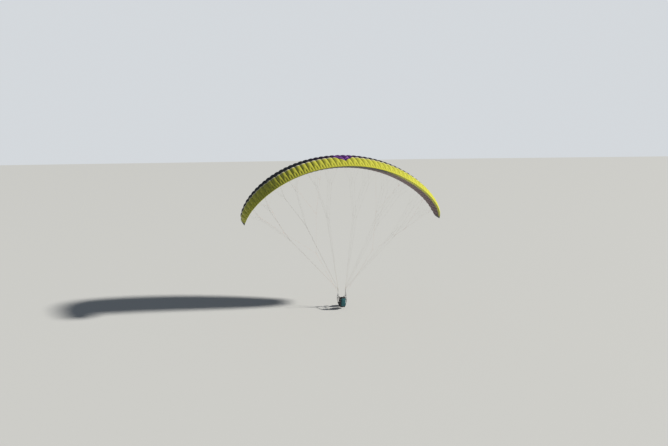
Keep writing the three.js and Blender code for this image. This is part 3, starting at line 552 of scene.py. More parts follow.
def webbing_paint(name, colour, tracer):
    """Woven strap: ribs along it, picks across it, and a tracer thread down the middle."""
    paint = Paint(name, Roughness=0.8)
    around, along, _ = paint.parts(paint.uv())
    ribs = around.wave(0.0022)
    picks = (along + around * 0.5).wave(0.0017)
    weave = ribs * 0.6 + picks * 0.4
    worn = paint.noise(paint.place(), 22.0, 4.0)
    stripe = (around * 90).nearest_whole() < 0.06
    tone = weave * 0.35 + worn * 0.5 + 0.45
    return paint.surface(paint.mix(stripe, colour, tracer), tone, worn * 0.2 + 0.65, weave, 0.0006, 0.9)


def cloth_paint(name, colour, front=None):
    """Heavy woven nylon: weave, creases and faded places. front is the colour ahead of the zip."""
    paint = Paint(name, Roughness=0.7)
    place = paint.place()
    x, y, z = paint.parts(place)
    weave = x.wave(0.0017) * (z + y).wave(0.0017) + (z - y).wave(0.0017) * 0.6
    creases = paint.noise(place, 9.0, 4.0)
    grain = paint.noise(place, 170.0, 2.0)
    if front:
        foot = on_back("pilot", 0, 0, ZIP_OFF)
        ahead = (y - foot.y) * math.cos(LEAN) + (z - foot.z) * math.sin(LEAN)
        colour = paint.mix(ahead > 0, colour, front)
    tone = creases * 0.5 + grain * 0.3 + weave * 0.08 + 0.54
    height = weave * 0.12 + creases * 2.2 + grain * 0.3
    return paint.surface(colour, tone, creases * 0.2 + 0.6, height, 0.0022, 0.8)


def metal_paint(name, colour, roughness, brushed=(1, 1, 12)):
    """Metal with fine machining lines and handled, duller places."""
    paint = Paint(name, colour, Metallic=1.0, Roughness=roughness)
    place = paint.place()
    lines = paint.noise(place, 260.0, 2.0, brushed)
    smears = paint.noise(place, 30.0, 4.0)
    tone = lines * 0.12 + smears * 0.2 + 0.82
    dull = lines * 0.1 + smears * 0.22 + (roughness - 0.14)
    return paint.surface(colour, tone, dull, lines * 0.5 + smears * 0.2, 0.00025, 0.5)


def plastic_paint(name, colour):
    """Moulded plastic with a fine pebbled face and scuffs."""
    paint = Paint(name, colour, Roughness=0.5)
    place = paint.place()
    pebble = paint.noise(place, 620.0, 1.0)
    scuffs = paint.noise(place, 45.0, 5.0, (1, 3, 1))
    height = pebble * 0.6 + scuffs * 0.3
    return paint.surface(colour, scuffs * 0.5 + 0.75, scuffs * 0.25 + 0.38, height, 0.0003, 0.7)


def spacer_paint():
    """The open three-dimensional mesh that lines the seat and the back."""
    paint = Paint("spacer_lining", Roughness=0.85)
    place = paint.place()
    x, y, z = paint.parts(place)
    cells = x.wave(0.0042) * (z + y + x * 0.5).wave(0.0042)
    dirt = paint.noise(place, 14.0, 3.0)
    colour = paint.mix(cells.ramp(0.28, 0.5), (0.012, 0.012, 0.014), (0.06, 0.062, 0.068))
    return paint.surface(colour, dirt * 0.6 + 0.65, cells * -0.15 + 0.9, cells, 0.0012, 0.9)


def zip_paint():
    """A zip's coil: turns across its length."""
    paint = Paint("zip_coil", Roughness=0.45)
    _, along, _ = paint.parts(paint.uv())
    turns = along.wave(0.0021)
    return paint.surface((0.05, 0.05, 0.055), turns * 0.8 + 0.5, turns * -0.15 + 0.55, turns, 0.0006, 1.0)


# Each paint with the name of its slot
PAINTS = {
    "canopy": (canopy_paint(), "canopy_cloth"),
    "line": (braid_paint("line_braid", (0.5, 0.42, 0.31), (0.2, 0.16, 0.12)), "line_sheath"),
    "brake_line": (braid_paint("brake_braid", (0.6, 0.2, 0.06), (0.7, 0.6, 0.4)), "brake_line_sheath"),
    "webbing": (webbing_paint("black_webbing", (0.03, 0.03, 0.034), (0.1, 0.1, 0.11)), "webbing"),
    "red_webbing": (webbing_paint("red_webbing", (0.42, 0.02, 0.015), (0.6, 0.1, 0.05)), "webbing"),
    "thread": (webbing_paint("sewing_thread", (0.16, 0.16, 0.17), (0.2, 0.2, 0.2)), "webbing"),
    "reflective": (webbing_paint("silver_tape", (0.5, 0.51, 0.52), (0.5, 0.51, 0.52)), "webbing"),
    "zip_tape": (webbing_paint("zip_tape", (0.03, 0.03, 0.034), (0.03, 0.03, 0.034)), "webbing"),
    "piping": (webbing_paint("grey_piping", (0.1, 0.11, 0.12), (0.1, 0.11, 0.12)), "harness_cloth"),
    "black": (cloth_paint("black_pack_cloth", (0.036, 0.037, 0.042)), "harness_cloth"),
    "spacer": (spacer_paint(), "harness_cloth"),
    "teal": (cloth_paint("teal_pack_cloth", (0.022, 0.12, 0.14), (0.036, 0.037, 0.042)), "container_cloth"),
    "steel": (metal_paint("polished_steel", (0.62, 0.63, 0.64), 0.24), "steel"),
    "alloy": (metal_paint("satin_alloy", (0.5, 0.51, 0.53), 0.4), "alloy"),
    "anodised": (metal_paint("anodised_plate", (0.2, 0.21, 0.23), 0.42, (1, 12, 1)), "alloy"),
    "plastic": (plastic_paint("moulded_black", (0.035, 0.036, 0.04)), "handle_plastic"),
    "zip_coil": (zip_paint(), "handle_plastic"),
}


# Modelling

def only(piece):
    """Selects one object and nothing else."""
    bpy.ops.object.select_all(action="DESELECT")
    piece.select_set(True)
    bpy.context.view_layer.objects.active = piece


@contextmanager
def editing(select="SELECT"):
    """Edit mode with everything selected, nothing, or what object mode left selected."""
    bpy.ops.object.mode_set(mode="EDIT")
    if select:
        bpy.ops.mesh.select_all(action=select)
    yield
    bpy.ops.object.mode_set(mode="OBJECT")


def clear_selection():
    """Deselects all of the active mesh, so that code can select its own faces."""
    with editing("DESELECT"):
        pass


def modify(piece, kind, **settings):
    """Adds a modifier and applies it."""
    only(piece)
    bpy.ops.object.modifier_add(type=kind)
    modifier = piece.modifiers[-1]
    for key, value in settings.items():
        setattr(modifier, key, value)
    bpy.ops.object.modifier_apply(modifier=modifier.name)


def copied(name, node):
    """A copy of a CAD node's mesh, as a piece of its own."""
    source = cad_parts[node]
    piece = bpy.data.objects.new(name, source.data.copy())
    bpy.context.collection.objects.link(piece)
    piece.matrix_world = source.matrix_world.copy()
    only(piece)
    bpy.ops.object.transform_apply(location=True, rotation=True, scale=True)
    return piece


def finish(piece, paint, body=None, nodes=(), angle=35):
    """Cleans and paints a piece, which rides on its body in place of its CAD nodes."""
    only(piece)
    bpy.ops.object.transform_apply(location=True, rotation=True, scale=True)
    with editing():
        bpy.ops.mesh.remove_doubles(threshold=1e-6)
        bpy.ops.mesh.normals_make_consistent(inside=False)
    bpy.ops.object.shade_smooth_by_angle(angle=math.radians(angle))
    material, slot = PAINTS[paint]
    piece.data.materials.clear()
    piece.data.materials.append(material)
    if body:
        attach(piece, body)
    if nodes:
        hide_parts(*nodes)
    return piece


def gather(name, pieces):
    """Joins pieces into one."""
    only(pieces[0])
    for piece in pieces:
        piece.select_set(True)
    bpy.ops.object.join()
    whole = bpy.context.object
    whole.name = name
    return whole


def points_of(piece, what="co"):
    """A mesh's points, or its normals."""
    values = np.empty(len(piece.data.vertices) * 3, np.float32)
    if what == "co":
        piece.data.vertices.foreach_get("co", values)
    else:
        piece.data.vertex_normals.foreach_get("vector", values)
    return values.reshape(-1, 3).astype(float)


def corners_of(piece):
    """The lowest and the highest corner of a piece's box."""
    points = points_of(piece)
    return points.min(0), points.max(0)


def place_points(piece, points):
    piece.data.vertices.foreach_set("co", points.astype(np.float32).ravel())
    piece.data.update()


def round_section(sides):
    return [(math.cos(2 * math.pi * n / sides), math.sin(2 * math.pi * n / sides)) for n in range(sides)]


STRAP_SECTION = [(-1, -0.4), (-0.95, -1), (0, -1), (0.95, -1), (1, -0.4),
                 (1, 0.4), (0.95, 1), (0, 1), (-0.95, 1), (-1, 0.4)]


def fuller(value, power):
    """A sine or cosine drawn out towards 1 or -1, for a section with fuller corners."""
    return math.copysign(abs(value) ** power, value)


PAD_SECTION = [(fuller(a, 0.45), fuller(b, 0.75)) for a, b in round_section(20)]


def girth_of(run, section):
    """The distances round a run's section, from its first corner."""
    _, wide, thick, _ = run[len(run) // 2]
    corners = [Vector((a * wide, b * thick)) for a, b in section]
    girth = [0.0]
    for corner, following in zip(corners, corners[1:] + corners[:1]):
        girth.append(girth[-1] + (following - corner).length)
    return girth


def sweep(name, runs, section, closed=False):
    """One mesh of tubes or straps. A run's stop is (point, half width, half thickness, across or None)."""
    points, faces, uvs = [], [], []
    sides = len(section)
    for run in runs:
        base, count, girth = len(points), len(run), girth_of(run, section)
        places = [Vector(stop[0]) for stop in run]
        travelled, held = [0.0], None
        for n in range(1, count + 1):
            travelled.append(travelled[-1] + (places[n % count] - places[n - 1]).length)
        for n, (_, wide, thick, across) in enumerate(run):
            before = places[n - 1] if n or closed else places[n]
            after = places[(n + 1) % count] if n < count - 1 or closed else places[n]
            along = (after - before).normalized()
            across = Vector(across) if across is not None else held or along.orthogonal()
            across = (across - along * across.dot(along)).normalized()
            held = across
            deep = along.cross(across)
            points += [places[n] + across * (a * wide) + deep * (b * thick) for a, b in section]
        for n in range(count if closed else count - 1):
            here, there = base + n * sides, base + (n + 1) % count * sides
            low, high = travelled[n], travelled[n + 1]
            for k in range(sides):
                j = (k + 1) % sides
                faces.append((here + k, here + j, there + j, there + k))
                uvs += [(girth[k], low), (girth[k + 1], low), (girth[k + 1], high), (girth[k], high)]
        if not closed:
            for start, v in ((base, 0.0), (base + (count - 1) * sides, travelled[count - 1])):
                faces.append(tuple(range(start, start + sides)))
                uvs += [(girth[k], v) for k in range(sides)]
    mesh = bpy.data.meshes.new(name)
    mesh.from_pydata(points, [], faces)
    layer = mesh.uv_layers.new(name="cloth")
    layer.data.foreach_set("uv", np.array(uvs, np.float32).ravel())
    piece = bpy.data.objects.new(name, mesh)
    bpy.context.collection.objects.link(piece)
    return piece


def swept(name, runs, section, paint, body, nodes=(), angle=35, closed=False):
    """A finished piece of tubes or straps."""
    return finish(sweep(name, runs, section, closed), paint, body, nodes, angle)


def curve_through(stops, steps):
    """Places and directions on a smooth curve through stops of (point, across)."""
    places = [Vector(point) for point, _ in stops]
    sides = [Vector(across) for _, across in stops]
    ends = [places[0], *places, places[-1]]
    out = []
    for n in range(len(stops) - 1):
        p0, p1, p2, p3 = ends[n:n + 4]
        last = steps + 1 if n == len(stops) - 2 else steps
        for k in range(last):
            t = k / steps
            point = 0.5 * (2 * p1 + (p2 - p0) * t + (2 * p0 - 5 * p1 + 4 * p2 - p3) * t * t
                           + (3 * p1 - p0 - 3 * p2 + p3) * t * t * t)
            out.append((point, sides[n].lerp(sides[n + 1], t)))
    return out


def strap_run(stops, width, thick, steps=6):
    return [(point, width / 2, thick / 2, across) for point, across in curve_through(stops, steps)]


def tube_run(points, radius):
    return [(point, radius, radius, None) for point in points]


def tack_run(middle, across, along, width, length, turns=9, radius=0.00045):
    """The zigzag of a sewn bar tack on a strap's face."""
    across, along, middle = Vector(across).normalized(), Vector(along).normalized(), Vector(middle)
    stops = []
    for n in range(2 * turns + 1):
        side = 0.5 if n % 2 else -0.5
        stops.append(middle + across * (side * width) + along * (length * (n / (2 * turns) - 0.5)))
    return tube_run(stops, radius)


def two_ended(half):
    """A turned profile with two like ends, from stops of (distance from the middle, radius)."""
    return [(-at, radius) for at, radius in half] + half[::-1]


def turned(name, place, axis, stops, sides=28):
    """A turned piece along an axis: stops are (distance along the axis, radius)."""
    axis = Vector(axis).normalized()
    run = [(place + axis * at, radius, radius, None) for at, radius in stops]
    return sweep(name, [run], round_section(sides))


def circle(middle, radius, wire, steps=32):
    """The run of a ring in the Y-Z plane."""
    turns = [2 * math.pi * n / steps for n in range(steps)]
    return tube_run([middle + Vector((0, radius * math.cos(t), radius * math.sin(t))) for t in turns], wire)


# Canopy

def write_skin_values(mesh, points, ribs, hand):
    """What the paint reads: rib number, chord share, upper side, intake pocket, and the cloth's UV."""
    rows, count = points.shape[:2]
    values = {
        "rib": np.tile(np.array(ribs) * hand, (rows, 1)),
        "share": np.tile(SHARE[:, None], (1, count)),
        "upper": np.tile((SIDE[:, None] > 0) * 1.0, (1, count)),
        "pocket": np.zeros((rows, count)),
    }
    for key, value in values.items():
        layer = mesh.attributes.new(key, "FLOAT", "POINT")
        layer.data.foreach_set("value", value.astype(np.float32).ravel())
    across = np.tile([HALF_ARC * rib_at(rib) * hand for rib in ribs], (rows, 1))
    steps = np.linalg.norm(np.diff(points, axis=0), axis=-1)
    along = np.vstack([np.zeros(count), np.cumsum(steps, axis=0)])
    layer = mesh.uv_layers.new(name="cloth")
    corners = np.zeros(len(mesh.loops), np.int32)
    mesh.loops.foreach_get("vertex_index", corners)
    layer.data.foreach_set("uv", np.stack([across.ravel()[corners], along.ravel()[corners]], 1).ravel())


def push_intakes_in(mesh, ribs, hand):
    """Opens the nose under the inner cells, one pocket to a cell."""
    inside = np.array([rib - math.floor(rib) for rib in ribs])
    strip = (inside > INTAKE_STRIPS[0]) & (inside < INTAKE_STRIPS[1]) & (np.array(ribs) < INTAKE_CELLS)
    row = (SIDE < 0) & (SHARE >= INTAKE[0] - 1e-6) & (SHARE <= INTAKE[1] + 1e-6)
    chosen = np.outer(row, strip).ravel()
    clear_selection()
    for vertex in mesh.vertices:
        vertex.select = bool(chosen[vertex.index])
    for group in (mesh.edges, mesh.polygons):
        for item in group:
            item.select = all(mesh.vertices[v].select for v in item.vertices)
    with editing(None):
        bpy.ops.mesh.extrude_region_shrink_fatten(TRANSFORM_OT_shrink_fatten={"value": -INTAKE_DEPTH * hand})
    pocket = mesh.attributes["pocket"].data
    for vertex in mesh.vertices:
        if vertex.select:
            pocket[vertex.index].value = 1.0


def canopy_panel(name, hand, first, last):
    """The cells between two ribs on one side of the wing, as one closed skin with its intakes."""
    ribs = columns(first, last)
    bpy.ops.object.select_all(action="DESELECT")
    bpy.ops.mesh.primitive_grid_add(x_subdivisions=len(ribs) - 1, y_subdivisions=len(SHARE) - 1)
    panel = bpy.context.object
    panel.name = name
    points = np.stack([cell_column(rib) for rib in ribs], axis=1)
    points[..., 0] *= hand
    panel.data.vertices.foreach_set("co", points.astype(np.float32).ravel())
    write_skin_values(panel.data, points, ribs, hand)
    push_intakes_in(panel.data, ribs, hand)
    with editing():
        bpy.ops.mesh.remove_doubles(threshold=1e-5)
        bpy.ops.mesh.select_all(action="SELECT")
        bpy.ops.mesh.fill_holes(sides=0)
    return finish(panel, "canopy", angle=24)


def canopy():
    """Two panels on each side, in place of the CAD's canopy nodes. The brake's bend of the trailing edge is
    worked out but not applied.
    """
    for side, hand in HANDS.items():
        start, outer_end, inner_end = bend_of_trailing_edge(hand)
        outer_nodes = [*[f"canopy_{n}_{side}" for n in (2, 3, 4, 5)], f"tip_{side}"]
        for name, first, last, nodes, end in (
            ("inner", 0, INNER_CELLS, [f"canopy_1_{side}"], inner_end),
            ("outer", INNER_CELLS, CELLS_A_SIDE, outer_nodes, outer_end),
        ):
            panel = canopy_panel(f"canopy_{name}_{side}", hand, first, last)
            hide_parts(*nodes)
            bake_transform(panel)


# Lines

def tab_under(rib, share, hand):
    """The sewn loop under a rib: its lower end, and the run of its closed cord."""
    at = under_wing(rib, share, hand)
    ahead, behind = (under_wing(rib, near, hand) for near in (share - 0.012, min(share + 0.012, 1)))
    outer, inner = (under_wing(near, share, hand) for near in (rib + 0.05, rib - 0.05))
    along, span = (ahead - behind).normalized(), (outer - inner).normalized()
    down = along.cross(span)
    if down.z > 0:
        down.negate()
    loop = [at + along * (TAB_WIDTH / 2 * a) + down * (TAB_LENGTH * b) for a, b in TAB_OUTLINE]
    return at + down * (TAB_LENGTH + TAB_PLAY), tube_run(loop, TAB_CORD)


def stepped_run(start, way, radius, stops):
    """A tube along a way whose radius changes: stops are (distance, share of the radius)."""
    return [(start + way * at, radius * k, radius * k, None) for at, k in stops]


def line_run(start, end, radius):
    """A sleeved line, thicker where its ends are spliced back."""
    way, length = (end - start).normalized(), (end - start).length
    stops = [*SPLICE, *[(length - at, k) for at, k in SPLICE[::-1]]]
    return stepped_run(start, way, radius, stops)


def knot_run(at, way, radius):
    return stepped_run(at, way.normalized(), radius, KNOT)


def fork(start, knee, share, ribs, chord_share, hand, runs, loops):
    """An upper line from its knee that parts near the wing and ends in the tabs of the given ribs."""
    point = start.lerp(knee, share)
    runs.append(line_run(knee, point, UPPER_RADIUS))
    runs.append(knot_run(point, knee - point, FORK_RADIUS))
    for rib in ribs:
        end, loop = tab_under(rib, chord_share, hand)
        runs.append(line_run(point, end, FORK_RADIUS))
        loops.append(loop)


def line_tree(name, runs, loops):
    """The lines and their tabs as one piece."""
    return gather(name, [sweep("lines", runs, round_section(7)),
                         sweep("tabs", loops, round_section(6), closed=True)])


def line_row(row, side, hand):
    """One row of lines on one half of the wing, gathered on its quick link."""
    ahead, outwards, share = RISERS[row]
    foot = Vector(((HANG_X + outwards) * hand, ahead, RISER_TOP + COLLAR_FOOT))
    runs, loops = [], []
    for n in (0, 2, 4):
        ribs = LINE_RIBS[n:n + 2]
        ends = [tab_under(rib, share, hand)[0] for rib in ribs]
        knee = ((ends[0] + ends[1]) / 2).lerp(foot, KNEE_SHARE)
        start = foot + Vector((0, (n / 2 - 1) * MAIN_STEP, 0))
        runs.append(line_run(start, knee, MAIN_RADIUS))
        runs.append(knot_run(knee, foot - knee, MAIN_RADIUS))
        for rib, end in zip(ribs, ends):
            fork(end, knee, FORK_SHARE, (rib - 1, rib + 1), share, hand, runs, loops)
    for n in (-1, 0, 1):
        eye = [Vector((foot.x + x, foot.y + n * EYE_STEP, RISER_TOP + z)) for x, z in EYE]
        loops.append(tube_run(eye, EYE_CORD))
    tree = line_tree(f"{row}_line_tree_{side}", runs, loops)
    whole = gather(tree.name, [tree, turned("collar", foot, UP, COLLAR, 20)])
    finish(whole, "line", "wing", [f"{row}_lines_{side}"], 50)


def blended_line(name, start, end, steps, radius, nodes=()):
    """A straight piece of brake line from start to end, in place of the given CAD nodes; it rides on no body.
    """
    stops = [start.lerp(end, n / steps) for n in range(steps + 1)]
    line = swept(name, [tube_run(stops, radius)], round_section(8), "brake_line", None, nodes, 50)
    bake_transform(line)


def brake_lines(side, hand):
    """The brake line tree on one half of the wing, its main line, and the tail through the pulley."""
    top = Vector((PULLEY.x * hand, PULLEY.y, PULLEY.z + PULLEY_SIZE[2] / 2))
    ends = {rib: tab_under(rib, BRAKE_TAB_SHARE, hand)[0] for rib in BRAKE_RIBS}
    ribs = list(BRAKE_RIBS)
    knees = [((ends[a] + ends[b]) / 2).lerp(top, BRAKE_KNEE_SHARE) for a, b in (ribs[:2], ribs[2:])]
    head = ((knees[0] + knees[1]) / 2).lerp(top, BRAKE_HEAD_SHARE)
    runs, loops = [], []
    for n, (rib, tabs) in enumerate(BRAKE_RIBS.items()):
        fork(ends[rib], knees[n // 2], BRAKE_FORK_SHARE, tabs, BRAKE_TAB_SHARE, hand, runs, loops)
    for knee in knees:
        runs.append(line_run(head, knee, UPPER_RADIUS))
        runs.append(knot_run(knee, head - knee, UPPER_RADIUS))
    runs.append(knot_run(head, top - head, MAIN_RADIUS))
    body = f"brake_lines_{side}"
    finish(line_tree(f"brake_line_tree_{side}", runs, loops), "brake_line", body, [body], 50)
    way = (head - top).normalized()
    blended_line(f"brake_main_line_{side}", top + way * 0.0015, head - way * 0.006, 12, MAIN_RADIUS,
                 [f"brake_main_{side}"])
    low = Vector((top.x, top.y, PULLEY.z - PULLEY_SIZE[2] / 2 + 0.001))
    hold = low - Vector((0, 0, HANDLE_STUB + 0.004))
    blended_line(f"brake_tail_{side}", low, hold, 1, MAIN_RADIUS * 1.1)


# Rings, links and bars

def rounded(half, tall, bend, steps):
    """The outline of a rounded oblong, from its half sizes and the radius of its corners."""
    outline = []
    for n, (x, z) in enumerate(((1, 1), (-1, 1), (-1, -1), (1, -1))):
        for k in range(steps + 1):
            turn = (n + k / steps) * math.pi / 2
            u, v = x * (half - bend) + bend * math.cos(turn), z * (tall - bend) + bend * math.sin(turn)
            outline.append((u, v))
    return outline


def carabiner(name, node, ring, middle, hand, body, sleeve=0.036):
    """A smooth ring with its gate: two collars, a screw sleeve with grip flutes, and a hinge pin."""
    width, height, wire = ring
    radius, half = wire * 0.46, sleeve / 2
    outline = rounded((width - wire) / 2, (height - wire) / 2, 0.3 * width - wire / 2, 7)
    places = [middle + Vector((x, 0, z)) for x, z in outline]
    swept(name, [tube_run(places, radius)], round_section(18), "steel", body, [node], 40, closed=True)
    gate = middle + Vector((hand * (width - wire) / 2, 0, 0))
    grip = two_ended([(half, radius), (half - 0.001, radius + 0.0021)])
    barrel = turned(f"{name}_sleeve", gate, UP, grip, 24)
    only(barrel)
    clear_selection()
    for face in barrel.data.polygons:
        face.select = len(face.vertices) == 4 and abs(face.normal.z) < 0.3 and face.index % 2 == 0
    with editing(None):
        bpy.ops.mesh.inset(thickness=0.0003, use_individual=True)
        bpy.ops.mesh.extrude_region_shrink_fatten(TRANSFORM_OT_shrink_fatten={"value": -0.0005})
    collar = two_ended([(0.0028, radius), (0.0022, radius + 0.0009)])
    collars = [turned("collar", gate + Vector((0, 0, end * (half + 0.0035))), UP, collar) for end in (-1, 1)]
    pin = two_ended([(radius + 0.0014, 0.0012), (radius + 0.001, 0.0019)])
    hinge = turned("pin", gate - Vector((0, 0, half + 0.0072)), AHEAD, pin, 14)
    finish(gather(f"{name}_gate", [barrel, *collars, hinge]), "alloy", body)


def webbing_loop(place, thick, up=1, steps=10):
    """A band that goes round a bar along X at place, up or down to its sewn throat."""
    turns = [math.pi + math.pi * k / steps for k in range(steps + 1)]
    stops = [(LOOP_RADIUS * math.cos(turn), up * LOOP_RADIUS * math.sin(turn)) for turn in turns]
    rise = up * (THROAT + 0.002)
    flank = [(LOOP_RADIUS, rise * 0.45), (LOOP_RADIUS * 0.55, rise * 0.85), (0.0026, rise)]
    stops += flank + [(-y, z) for y, z in flank[::-1]]
    run = [(place + Vector((0, y, z)), LOOP_WIDTH / 2, thick / 2, (1, 0, 0)) for y, z in stops]
    return sweep("loop", [run], STRAP_SECTION, closed=True)


def quick_link(name, top):
    """The steel link at a riser's head, with its nut."""
    half, narrow, radius = LINK_WIDTH / 2, LINK_WIDTH / 3.4, LINK_WIRE * 0.48
    low, high = top.z - LINK_WIRE / 2, top.z + LINK_HEIGHT - LINK_WIRE * 1.5
    right = [(half - 0.006, low), (half - 0.0022, low + 0.0018), (half - 0.001, low + 0.006),
             (narrow - 0.0015, high - 0.006), (narrow - 0.004, high - 0.001)]
    left = [(-y, z) for y, z in right]
    outline = [left[0], *right, (0, high), *left[:0:-1]]
    places = [Vector((top.x, top.y + y, z)) for y, z in outline]
    ring = sweep(name, [tube_run(places, radius)], round_section(12), closed=True)
    nut = turned("nut", (places[3] + places[4]) / 2, places[4] - places[3],
                 two_ended([(0.006, 0.0034), (0.0054, 0.0042)]), 6)
    finish(gather(name, [ring, nut]), "steel", "wing")


def riser(row, side, hand):
    """A riser strap with its folded ends, tacks and quick link. The B riser has the carabiner's loop."""
    ahead, outwards, _ = RISERS[row]
    x, looped = (HANG_X + outwards) * hand, row == "b"
    foot = Vector((x, 0, LOOP_TOP - 0.006 if looped else LOOP_TOP + 0.0033))
    top = Vector((x, ahead, RISER_TOP))
    way = (top - foot).normalized()
    out = Vector((hand * (-0.0028 if row == "a" else 0.0028), 0, 0))
    face = out * 1.38

    def layer(places, thick, steps=6):
        return strap_run([(place, AHEAD) for place in places], RISER_WIDTH, thick, steps)

    layers = [layer([foot, foot.lerp(top, 0.5), top - way * 0.006], RISER_THICK),
              layer([top - way * 0.062 + out, top - way * 0.02 + out, top - way * 0.002], FOLD_THICK)]
    tacks = [tack_run(top - way * at + face, AHEAD, way, 0.014, 0.012) for at in (0.022, 0.05)]
    loops = []
    if looped:
        loops.append(webbing_loop(Vector((HANG_X * hand, 0, RING_TOP + LOOP_PLAY)), 0.0022))
    else:
        layers.append(layer([foot + way * 0.004 + out, foot + way * 0.017 + out], FOLD_THICK, 2))
        tacks.append(tack_run(foot + way * 0.011 + face, AHEAD, way, 0.014, 0.008))
    strap = gather(f"riser_{row}_strap_{side}", [sweep("layers", layers, STRAP_SECTION), *loops])
    finish(strap, "webbing", "wing", [f"riser_{row}_{side}"])
    swept(f"riser_{row}_stitching_{side}", tacks, round_section(5), "thread", "wing", angle=60)
    quick_link(f"riser_{row}_link_{side}", top)


def soften(piece, width, angle):
    """Bevels the edges sharper than an angle."""
    modify(piece, "BEVEL", width=width, segments=2, angle_limit=math.radians(angle))


def rounded_plate(name, centre, deep, tall, thick):
    """An upright plate in the Y-Z plane with half-round ends and softened edges."""
    bpy.ops.object.select_all(action="DESELECT")
    bpy.ops.mesh.primitive_cube_add(size=1, location=centre, scale=(thick, 2 * deep, 2 * tall))
    plate = bpy.context.object
    plate.name = name
    bpy.ops.object.transform_apply(location=True, rotation=False, scale=True)
    with editing(None):
        bpy.ops.mesh.select_mode(type="EDGE")
        bpy.ops.mesh.select_all(action="DESELECT")
    corners = plate.data.vertices
    for edge in plate.data.edges:
        a, b = (corners[v].co for v in edge.vertices)
        edge.select = abs(a.x - b.x) > thick / 2
    with editing(None):
        bpy.ops.mesh.bevel(offset=deep * 0.93, segments=8)
        bpy.ops.mesh.select_mode(type="VERT")
    soften(plate, 0.0006, 40)
    return plate


def pulley(side, hand):
    """The brake pulley between its cheeks, and the tape that holds it on the C riser."""
    at = Vector((PULLEY.x * hand, PULLEY.y, PULLEY.z))
    wide, deep, tall = (size / 2 for size in PULLEY_SIZE)
    cheek = Vector((wide - 0.0015, 0, 0))
    parts = [rounded_plate("cheek", at + cheek * face, deep, tall, 0.0026) for face in (-1, 1)]
    wheel = two_ended([(0.0058, 0.0085), (0.005, 0.0107), (0.0042, 0.0107), (0.0016, 0.0074)])
    pin = two_ended([(wide, 0.0022), (wide - 0.0004, 0.0032)])
    parts += [turned("sheave", at, (1, 0, 0), wheel), turned("pin", at, (1, 0, 0), pin, 18)]
    finish(gather(f"brake_pulley_block_{side}", parts), "alloy", "wing", [f"brake_pulley_{side}"], 20)
    inner = (HANG_X + RISERS["c"][1] + 0.0018) * hand
    outer = (PULLEY.x - wide + 0.001) * hand
    stops = [((x, y, at.z + lift), UP) for x, y, lift in
             ((outer, at.y - 0.004, 0), (outer, at.y + 0.014, 0), (inner, -0.06, 0.002), (inner, -0.006, 0))]
    swept(f"brake_pulley_tape_{side}", [strap_run(stops, 0.0115, 0.0018)], STRAP_SECTION, "webbing", "wing")


def brake_handle(side, hand):
    """The brake handle under its pulley: a ring padded where it is held, with a swivel and a bead."""
    body = f"brake_handle_{side}"
    top = PULLEY.z - PULLEY_SIZE[2] / 2 - 0.0003
    crown = Vector((PULLEY.x * hand, PULLEY.y, top - HANDLE_STUB + 0.003))
    middle = crown - Vector((0, 0, HANDLE_HEIGHT / 2))
    grip = []
    half, tall = (HANDLE_WIDTH - HANDLE_BAR) / 2, (HANDLE_HEIGHT - HANDLE_BAR) / 2
    for y, z in rounded(half, tall, 0.03 - HANDLE_BAR / 2, 7):
        padding = 0.0066 if z < 0.1 * HANDLE_HEIGHT else 0.0045
        grip.append((middle + Vector((0, y, z)), padding, padding * 1.05, None))
    swept(f"brake_grip_{side}", [grip], round_section(16), "plastic", body, [body], 60, closed=True)
    swivel = [(-0.001, 0.004), (0, 0.0058), (0.008, 0.0058), (0.012, 0.0036), (0.014, 0.0026)]
    bead = two_ended([(0.004, 0.0018), (0.002, 0.0034)])
    parts = [turned("swivel", crown, UP, swivel, 20),
             turned("bead", crown + Vector((0, 0, 0.018)), UP, bead, 16)]
    finish(gather(f"brake_swivel_{side}", parts), "alloy", body)


def spreader_bar(side, hand):
    """The bar both harnesses hang from: a bevelled plate with turned bushes in its holes."""
    node = f"spreader_bar_{side}"
    plate = copied(f"spreader_plate_{side}", node)
    points = points_of(plate)
    points[:, 0] = HANG_X * hand + np.sign(points[:, 0] - HANG_X * hand) * SPREADER_THICK / 2
    place_points(plate, points)
    with editing():
        bpy.ops.mesh.remove_doubles(threshold=5e-5)
        bpy.ops.mesh.dissolve_limited(angle_limit=math.radians(3))
    soften(plate, 0.0011, 50)
    finish(plate, "anodised", "spreaders", [node], 20)
    apex = Vector((HANG_X * hand, 0, HANG_Z - SPREADER_RISE))
    holes = []
    for reach, shares in SPARE_HOLES.items():
        end = Vector((HANG_X * hand, reach * SPREADER_REACH, HANG_Z - SPREADER_DROP))
        holes += [(apex.lerp(end, share), *HARNESS_BUSH) for share in (1, *shares)]
    holes.append((apex, *APEX_BUSH))
    lip = Vector((SPREADER_THICK / 2 - 0.0002, 0, 0))
    rims = [circle(place + lip * face, radius, wire) for place, radius, wire in holes for face in (-1, 1)]
    swept(f"spreader_bushes_{side}", rims, round_section(10), "steel", "spreaders", angle=50, closed=True)


# Harness cushions

def cushion(name, node, voxel, shrink, most, hollow):
    """A padded piece on its solid's shape: remeshed, drawn in, and blown up by the cloth's own pressure."""
    piece = copied(name, node)
    with editing():
        bpy.ops.mesh.remove_doubles(threshold=1e-5)
    if hollow:
        keep_outer_shell(piece)
    piece.data.remesh_voxel_size = voxel
    piece.data.remesh_voxel_adaptivity = 0
    bpy.ops.object.voxel_remesh()
    modify(piece, "SMOOTH", factor=0.5, iterations=4)
    start = points_of(piece) - points_of(piece, "normal") * shrink
    place_points(piece, start)
    blow_up(piece, start, most)
    modify(piece, "SMOOTH", factor=0.5, iterations=2)
    modify(piece, "SUBSURF", levels=1, render_levels=1)
    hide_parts(node)
    return piece


